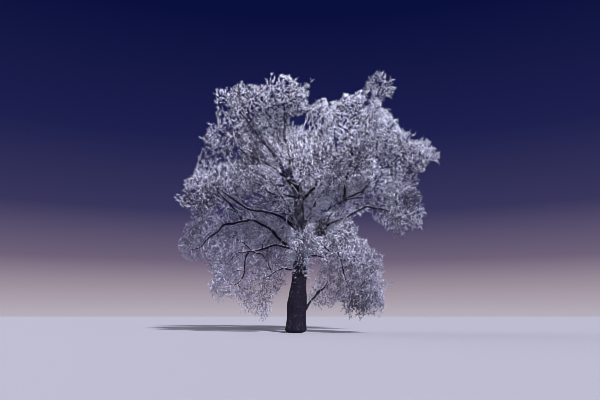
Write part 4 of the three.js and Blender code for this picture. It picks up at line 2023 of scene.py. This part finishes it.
@dataclass(frozen=True)
class Studio:
    """A plain pale floor, plain soft light and an even backdrop.

    Attributes:
        floor_half: Half the floor's width.
        floor_colour: The floor's colour.
        backdrop: The colours behind the tree, from the horizon up, each with the sine of its angle.
        fill: The colour and strength of the light from all round.
        lamps: Each lamp's name, strength, turn from straight down and width, with the angles in degrees.
        blur: The width in pixels over which the picture is smoothed.
    """

    floor_half: float = 1500.0
    floor_colour: Colour = (0.40, 0.39, 0.47)
    backdrop: tuple[tuple[float, Colour], ...] = (
        (0.0, (0.47, 0.43, 0.50)),
        (0.05, (0.34, 0.28, 0.34)),
        (0.10, (0.155, 0.12, 0.195)),
        (0.19, (0.040, 0.037, 0.11)),
        (0.32, (0.013, 0.015, 0.078)),
        (0.52, (0.003, 0.005, 0.048)),
    )
    fill: tuple[float, float, float, float] = (0.48, 0.52, 0.88, 0.17)
    lamps: tuple[tuple[str, float, Place, float], ...] = (
        ("key", 6.8, (61.0, 0.0, 20.0), 5.0),
        ("second", 1.088, (60.0, 0.0, -120.0), 60.0),
    )
    blur: float = 0.55

    def build(self) -> None:
        """Lays the floor and sets the lights."""
        deselect_all()
        bpy.ops.mesh.primitive_plane_add(size=2 * self.floor_half)
        floor = bpy.context.object
        floor.name = "floor"
        floor.data.materials.append(PlainFinish("Floor", self.floor_colour).material())
        for name, strength, turn, width in self.lamps:
            data = bpy.data.lights.new(name, "SUN")
            data.energy = strength
            data.angle = math.radians(width)
            add_object(name, data).rotation_euler = [math.radians(angle) for angle in turn]
        self._world()

    def _world(self) -> None:
        """Makes the light from all round, and the even backdrop that the camera sees."""
        world = bpy.data.worlds.new("studio")
        world.use_nodes = True
        tree = world.node_tree
        light = tree.nodes["Background"]
        feed(tree, light.inputs["Color"], self.fill[:3])
        feed(tree, light.inputs["Strength"], self.fill[3])
        direction = add_node(tree, "TexCoord", {}).outputs["Generated"]
        height = add_node(tree, "SeparateXYZ", {"Vector": direction}).outputs["Z"]
        grade = add_node(tree, "ValToRGB", {"Fac": height})
        stops = grade.color_ramp.elements
        for start, colour in self.backdrop[1:]:
            stops.new(start).color = (*colour, 1.0)
        for stop, (_, colour) in ((stops[0], self.backdrop[0]), (stops[-1], self.backdrop[-1])):
            stop.color = (*colour, 1.0)
        seen = add_node(tree, "Background", {"Color": grade.outputs["Color"]})
        in_view = add_node(tree, "LightPath", {}).outputs["Is Camera Ray"]
        either = add_node(tree, "MixShader", {"Fac": in_view})
        for socket, shader in zip(either.inputs[1:], (light, seen)):
            feed(tree, socket, shader.outputs["Background"])
        feed(tree, tree.nodes["World Output"].inputs["Surface"], either.outputs["Shader"])
        bpy.context.scene.world = world
        bpy.context.scene.view_settings.view_transform = "Standard"
        bpy.context.scene.cycles.filter_width = self.blur


# The tree's own values

# The thinner side boughs, each with its radius at both ends and then the places that it passes.

SIDE_BOUGHS = {
    "arch_tip": (
        (0.13, 0.05), (-6.4, 0.2, 10.6), (-7.2, 0.2, 10.4), (-7.65, 0.1, 9.8), (-8.5, 0.1, 9.2),
        (-9.1, 0.0, 8.5), (-9.7, 0.0, 8.05), (-10.5, -0.1, 7.95),
    ),
    "arch_side": (
        (0.07, 0.03), (-7.6, 0.1, 9.85), (-8.2, -0.1, 10.0), (-8.8, -0.3, 9.75), (-9.4, -0.4, 9.95),
    ),
    "hanging_arm": (
        (0.08, 0.035), (-4.5, -0.4, 7.75), (-5.05, -0.4, 7.6), (-5.6, -0.5, 7.5), (-6.1, -0.5, 7.25),
        (-6.45, -0.5, 6.9), (-6.9, -0.4, 6.3),
    ),
    "hanging_drop": (
        (0.12, 0.04), (-4.6, -0.4, 7.7), (-4.9, -0.3, 7.2), (-4.95, -0.2, 6.6), (-4.95, -0.1, 5.85),
        (-5.25, 0.0, 5.2), (-5.7, 0.0, 4.7), (-6.3, 0.1, 4.45),
    ),
    "hanging_drop_side": (
        (0.06, 0.03), (-4.95, -0.1, 5.85), (-5.55, -0.2, 5.85), (-6.0, -0.3, 5.7), (-6.5, -0.3, 5.4),
    ),
    "hanging_bend": (
        (0.09, 0.035), (-4.2, -0.45, 7.8), (-3.7, -0.6, 7.5), (-3.3, -0.7, 7.4), (-2.85, -0.8, 6.9),
        (-2.5, -0.8, 6.35), (-2.3, -0.8, 5.8), (-2.5, -0.8, 5.2),
    ),
    "hanging_rise": (
        (0.08, 0.03), (-4.3, -0.45, 7.8), (-4.7, -0.5, 8.15), (-4.95, -0.6, 8.4), (-5.45, -0.7, 8.8),
        (-6.0, -0.8, 9.0), (-6.6, -0.8, 9.0),
    ),
    "hanging_spur": (
        (0.06, 0.03), (-3.25, -0.6, 8.0), (-3.2, -0.8, 8.5), (-3.0, -0.9, 8.9), (-3.1, -0.9, 9.35),
    ),
    "riser_side": (
        (0.06, 0.03), (-6.0, 0.6, 11.85), (-6.6, 0.3, 11.95), (-7.0, 0.2, 12.35), (-7.6, 0.1, 12.6),
    ),
    "left_upper": (
        (0.10, 0.04), (-0.1, -0.1, 10.75), (-0.6, -0.3, 11.15), (-1.2, -0.4, 11.4), (-1.8, -0.5, 11.55),
        (-2.4, -0.5, 11.65), (-3.0, -0.5, 11.95),
    ),
    "thin_low": (
        (0.07, 0.03), (-1.6, -0.5, 13.3), (-2.1, -0.6, 12.9), (-2.2, -0.7, 12.4), (-2.6, -0.7, 12.0),
    ),
    "great_strand": (
        (0.09, 0.08), (3.0, -0.2, 10.9), (3.1, -0.3, 11.5), (3.36, -0.3, 12.1), (3.86, -0.3, 12.35),
        (4.35, -0.2, 12.6), (4.8, -0.1, 13.0),
    ),
    "crook_low": (
        (0.09, 0.03), (4.75, -0.1, 12.9), (5.5, -0.2, 13.0), (6.0, -0.3, 13.25), (6.5, -0.4, 13.2),
        (7.1, -0.5, 12.8),
    ),
    "reaching_spur": (
        (0.08, 0.03), (6.2, -0.25, 11.85), (6.3, -0.3, 12.1), (6.45, -0.4, 12.3), (6.7, -0.6, 12.8),
    ),
    "foot_side": (
        (0.08, 0.03), (1.95, 0.0, 3.7), (2.3, -0.1, 4.1), (2.8, -0.2, 4.3), (3.35, -0.2, 4.55),
        (3.75, -0.2, 4.9),
    ),
    "stub": ((0.12, 0.08), (0.8, -0.3, 7.15), (1.75, -0.6, 7.3), (2.5, -0.75, 7.2), (3.05, -0.85, 7.1)),
    "falling_side": (
        (0.10, 0.04), (2.9, -0.8, 9.2), (2.75, -0.9, 8.5), (2.85, -1.0, 7.9), (3.2, -1.0, 7.6),
        (3.55, -1.0, 7.2),
    ),
    "falling_tip": (
        (0.14, 0.05), (4.0, -1.15, 7.8), (4.25, -1.2, 6.9), (4.4, -1.2, 6.1), (4.7, -1.3, 5.2),
        (5.0, -1.4, 4.0),
    ),
}

# The trunk's ridges are nearly black low down and lighter above the rise: painted shade of the crown on the
# low trunk, and painted light on the upper trunk where front branches shade it.
TRUNK_BARK = BarkFinish(
    "Trunk_bark",
    ridge=(0.007, 0.005, 0.014),
    ridge_above_shade=(0.098, 0.084, 0.13),
    rime=(0.115, 0.11, 0.16),
    cover=-0.2,
    specks=0.18,
    specks_above=0.40,
    plates=7.0,
    stretch=4.5,
)
BOUGH_BARK = BarkFinish("Bough_bark", cover=0.15, specks=0.12, plates=14.0, stretch=1.5)
WHITE_BARK = BarkFinish(
    "White_bark", rime=(0.24, 0.23, 0.31), cover=0.4, specks=0.42, specks_above=0.42, plates=14.0, stretch=1.5
)
BURR_BARK = BarkFinish(
    "Burr_bark",
    ridge=(0.36, 0.345, 0.44),
    ridge_above_shade=(0.36, 0.345, 0.44),
    cover=-0.15,
    specks=0.14,
    plates=2.6,
    stretch=1.2,
    crack=0.42,
)
LEADER_BARK = BarkFinish(
    "Leader_bark",
    ridge_above_shade=(0.026, 0.022, 0.038),
    rime=(0.16, 0.155, 0.22),
    cover=0.0,
    specks_above=0.3,
    plates=10.0,
    stretch=3.0,
)
BARKS = {
    "right_falling_bough": BURR_BARK,
    "left_rising_bough": LEADER_BARK,
    "middle_leader_bough": LEADER_BARK,
    "right_great_bough": WHITE_BARK,
    "back_right_bough": WHITE_BARK,
    "back_middle_bough": WHITE_BARK,
    **{f"front_{place}_bough": WHITE_BARK for place in ("left", "middle", "right", "low")},
}

# The boughs that end where others grow from them. The rest run on into the twigs.

CARRIERS = (
    "left_arch_bough",
    "right_great_bough",
    "left_arch_end_bough",
    "left_low_bough",
    "right_falling_bough",
)
RUNS_ON = (1.8, 0.4)

# The share of a bough that bears no twigs, where it isn't the usual one.

BARE = {
    "front_left_bough": 0.05,
    "front_middle_bough": 0.05,
    "front_right_bough": 0.05,
    "back_low_left_bough": 0.2,
    "back_low_right_bough": 0.2,
    "back_middle_bough": 0.3,
    "left_arch_bough": 0.3,
    "left_low_bough": 0.3,
    "right_crook_bough": 0.1,
    "right_rising_bough": 0.1,
    "right_reaching_bough": 0.1,
    "right_great_bough": 0.1,
    "right_fork_bough": 0.12,
}

# How wide a limb is kept in sight, the share of the twigs in front that stay, and the stretch of it.

IN_SIGHT = {
    "left_rising_bough": (0.32, 0.1, 0.1, 0.85),
    "middle_leader_bough": (0.24, 0.4, 0.2, 0.8),
    "right_fork_bough": (0.34, 0.1, 0.0, 0.22),
    "upper_left_bough": (0.24, 0.25),
    "left_long_bough": (0.30, 0.08),
    "left_arch_bough": (0.32, 0.08),
    "left_arch_end_bough": (0.28, 0.15),
    "left_arch_riser_bough": (0.22, 0.3),
    "left_low_bough": (0.28, 0.1),
    "left_thin_bough": (0.24, 0.2),
    "right_rising_bough": (0.30, 0.25, 0.3, 0.65),
    "right_crook_bough": (0.28, 0.1, 0.14, 0.4),
    "right_reaching_bough": (0.32, 0.08, 0.32, 0.8),
    "right_falling_bough": (0.28, 0.35, 0.35, 1.0),
    "arch_tip": (0.24, 0.15),
    "hanging_arm": (0.2, 0.2),
    "hanging_drop": (0.24, 0.15),
    "hanging_bend": (0.22, 0.15),
    "hanging_rise": (0.2, 0.25),
    "left_upper": (0.2, 0.2),
    "thin_low": (0.2, 0.25),
    "great_strand": (0.22, 0.1, 0.55, 1.0),
    "crook_low": (0.2, 0.15),
    "reaching_spur": (0.2, 0.1),
    "stub": (0.26, 0.15),
    "foot_side": (0.24, 0.3),
    "falling_side": (0.2, 0.3),
}

# What else is kept in sight: the trunk above and below the great boughs' feet, the fork and the burr.

TRUNK_ABOVE, TRUNK_BELOW = (10.0, 14.4, 0.2), (5.0, 10.0, 0.2)
FORK_PLACES = ((0.0, 0.0, 14.2), (-0.3, 0.0, 14.6), (-0.6, 0.1, 15.0))
BURR_PLACES = ((2.4, -1.0, 9.7), (2.5, -1.0, 10.1), (2.55, -1.0, 10.5))


def build_limbs() -> tuple[list[LimbLine], list[Clearing]]:
    """Builds every bough and side bough.

    Returns:
        Their lines, and the clearings that keep some of them in sight.
    """
    planned = []
    for node in sorted(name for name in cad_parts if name.endswith("_bough")):
        line = LimbLine.of_node(node)
        line.bare = BARE.get(node, line.bare)
        line = line if node in CARRIERS else line.drawn_on(*RUNS_ON)
        bark = BARKS.get(node, BOUGH_BARK)
        planned.append((node, Limb(node.replace("_bough", "_limb"), [node], line, bark)))
    for name, (thick, *places) in SIDE_BOUGHS.items():
        line = LimbLine.by_hand(places, thick)
        planned.append((name, Limb(f"{name}_limb", [], line, BOUGH_BARK, sides=6)))
    for _, limb in planned:
        report(limb.build())
    clearings = [limb.line.clearing(*IN_SIGHT[name]) for name, limb in planned if name in IN_SIGHT]
    return [limb.line for _, limb in planned], clearings


def main() -> None:
    """Builds the studio, the wood and the crown, and reports each piece."""
    logging.basicConfig(level=logging.INFO, format="%(message)s")
    # Without a seed of its own, noise_vector would follow the clock.
    noise.seed_set(SEED)
    eye = Eye()
    eye.build()
    Studio().build()
    shape = TrunkShape()
    report(Trunk(shape, TRUNK_BARK).build())
    lines, limb_clearings = build_limbs()
    heights = (np.arange(*part) for part in (TRUNK_ABOVE, TRUNK_BELOW))
    upper, lower = (np.array([shape.middle(up) for up in part]) for part in heights)
    clearings = [
        Clearing(upper, 0.62, 0.05),
        Clearing(lower, 0.75, 0.35),
        Clearing(np.array(FORK_PLACES), 0.35, 0.1),
        *limb_clearings,
        Clearing(np.array(BURR_PLACES), 0.62, 0.0),
    ]
    report(Burr((2.48, -0.65, 10.12), 0.52, (1.0, 0.9, 1.35), BURR_BARK).build())
    report(Fringe(lines).build())
    for piece in Crown(lines, clearings, shape, eye).build():
        report(piece)


if __name__ == "__main__":
    main()
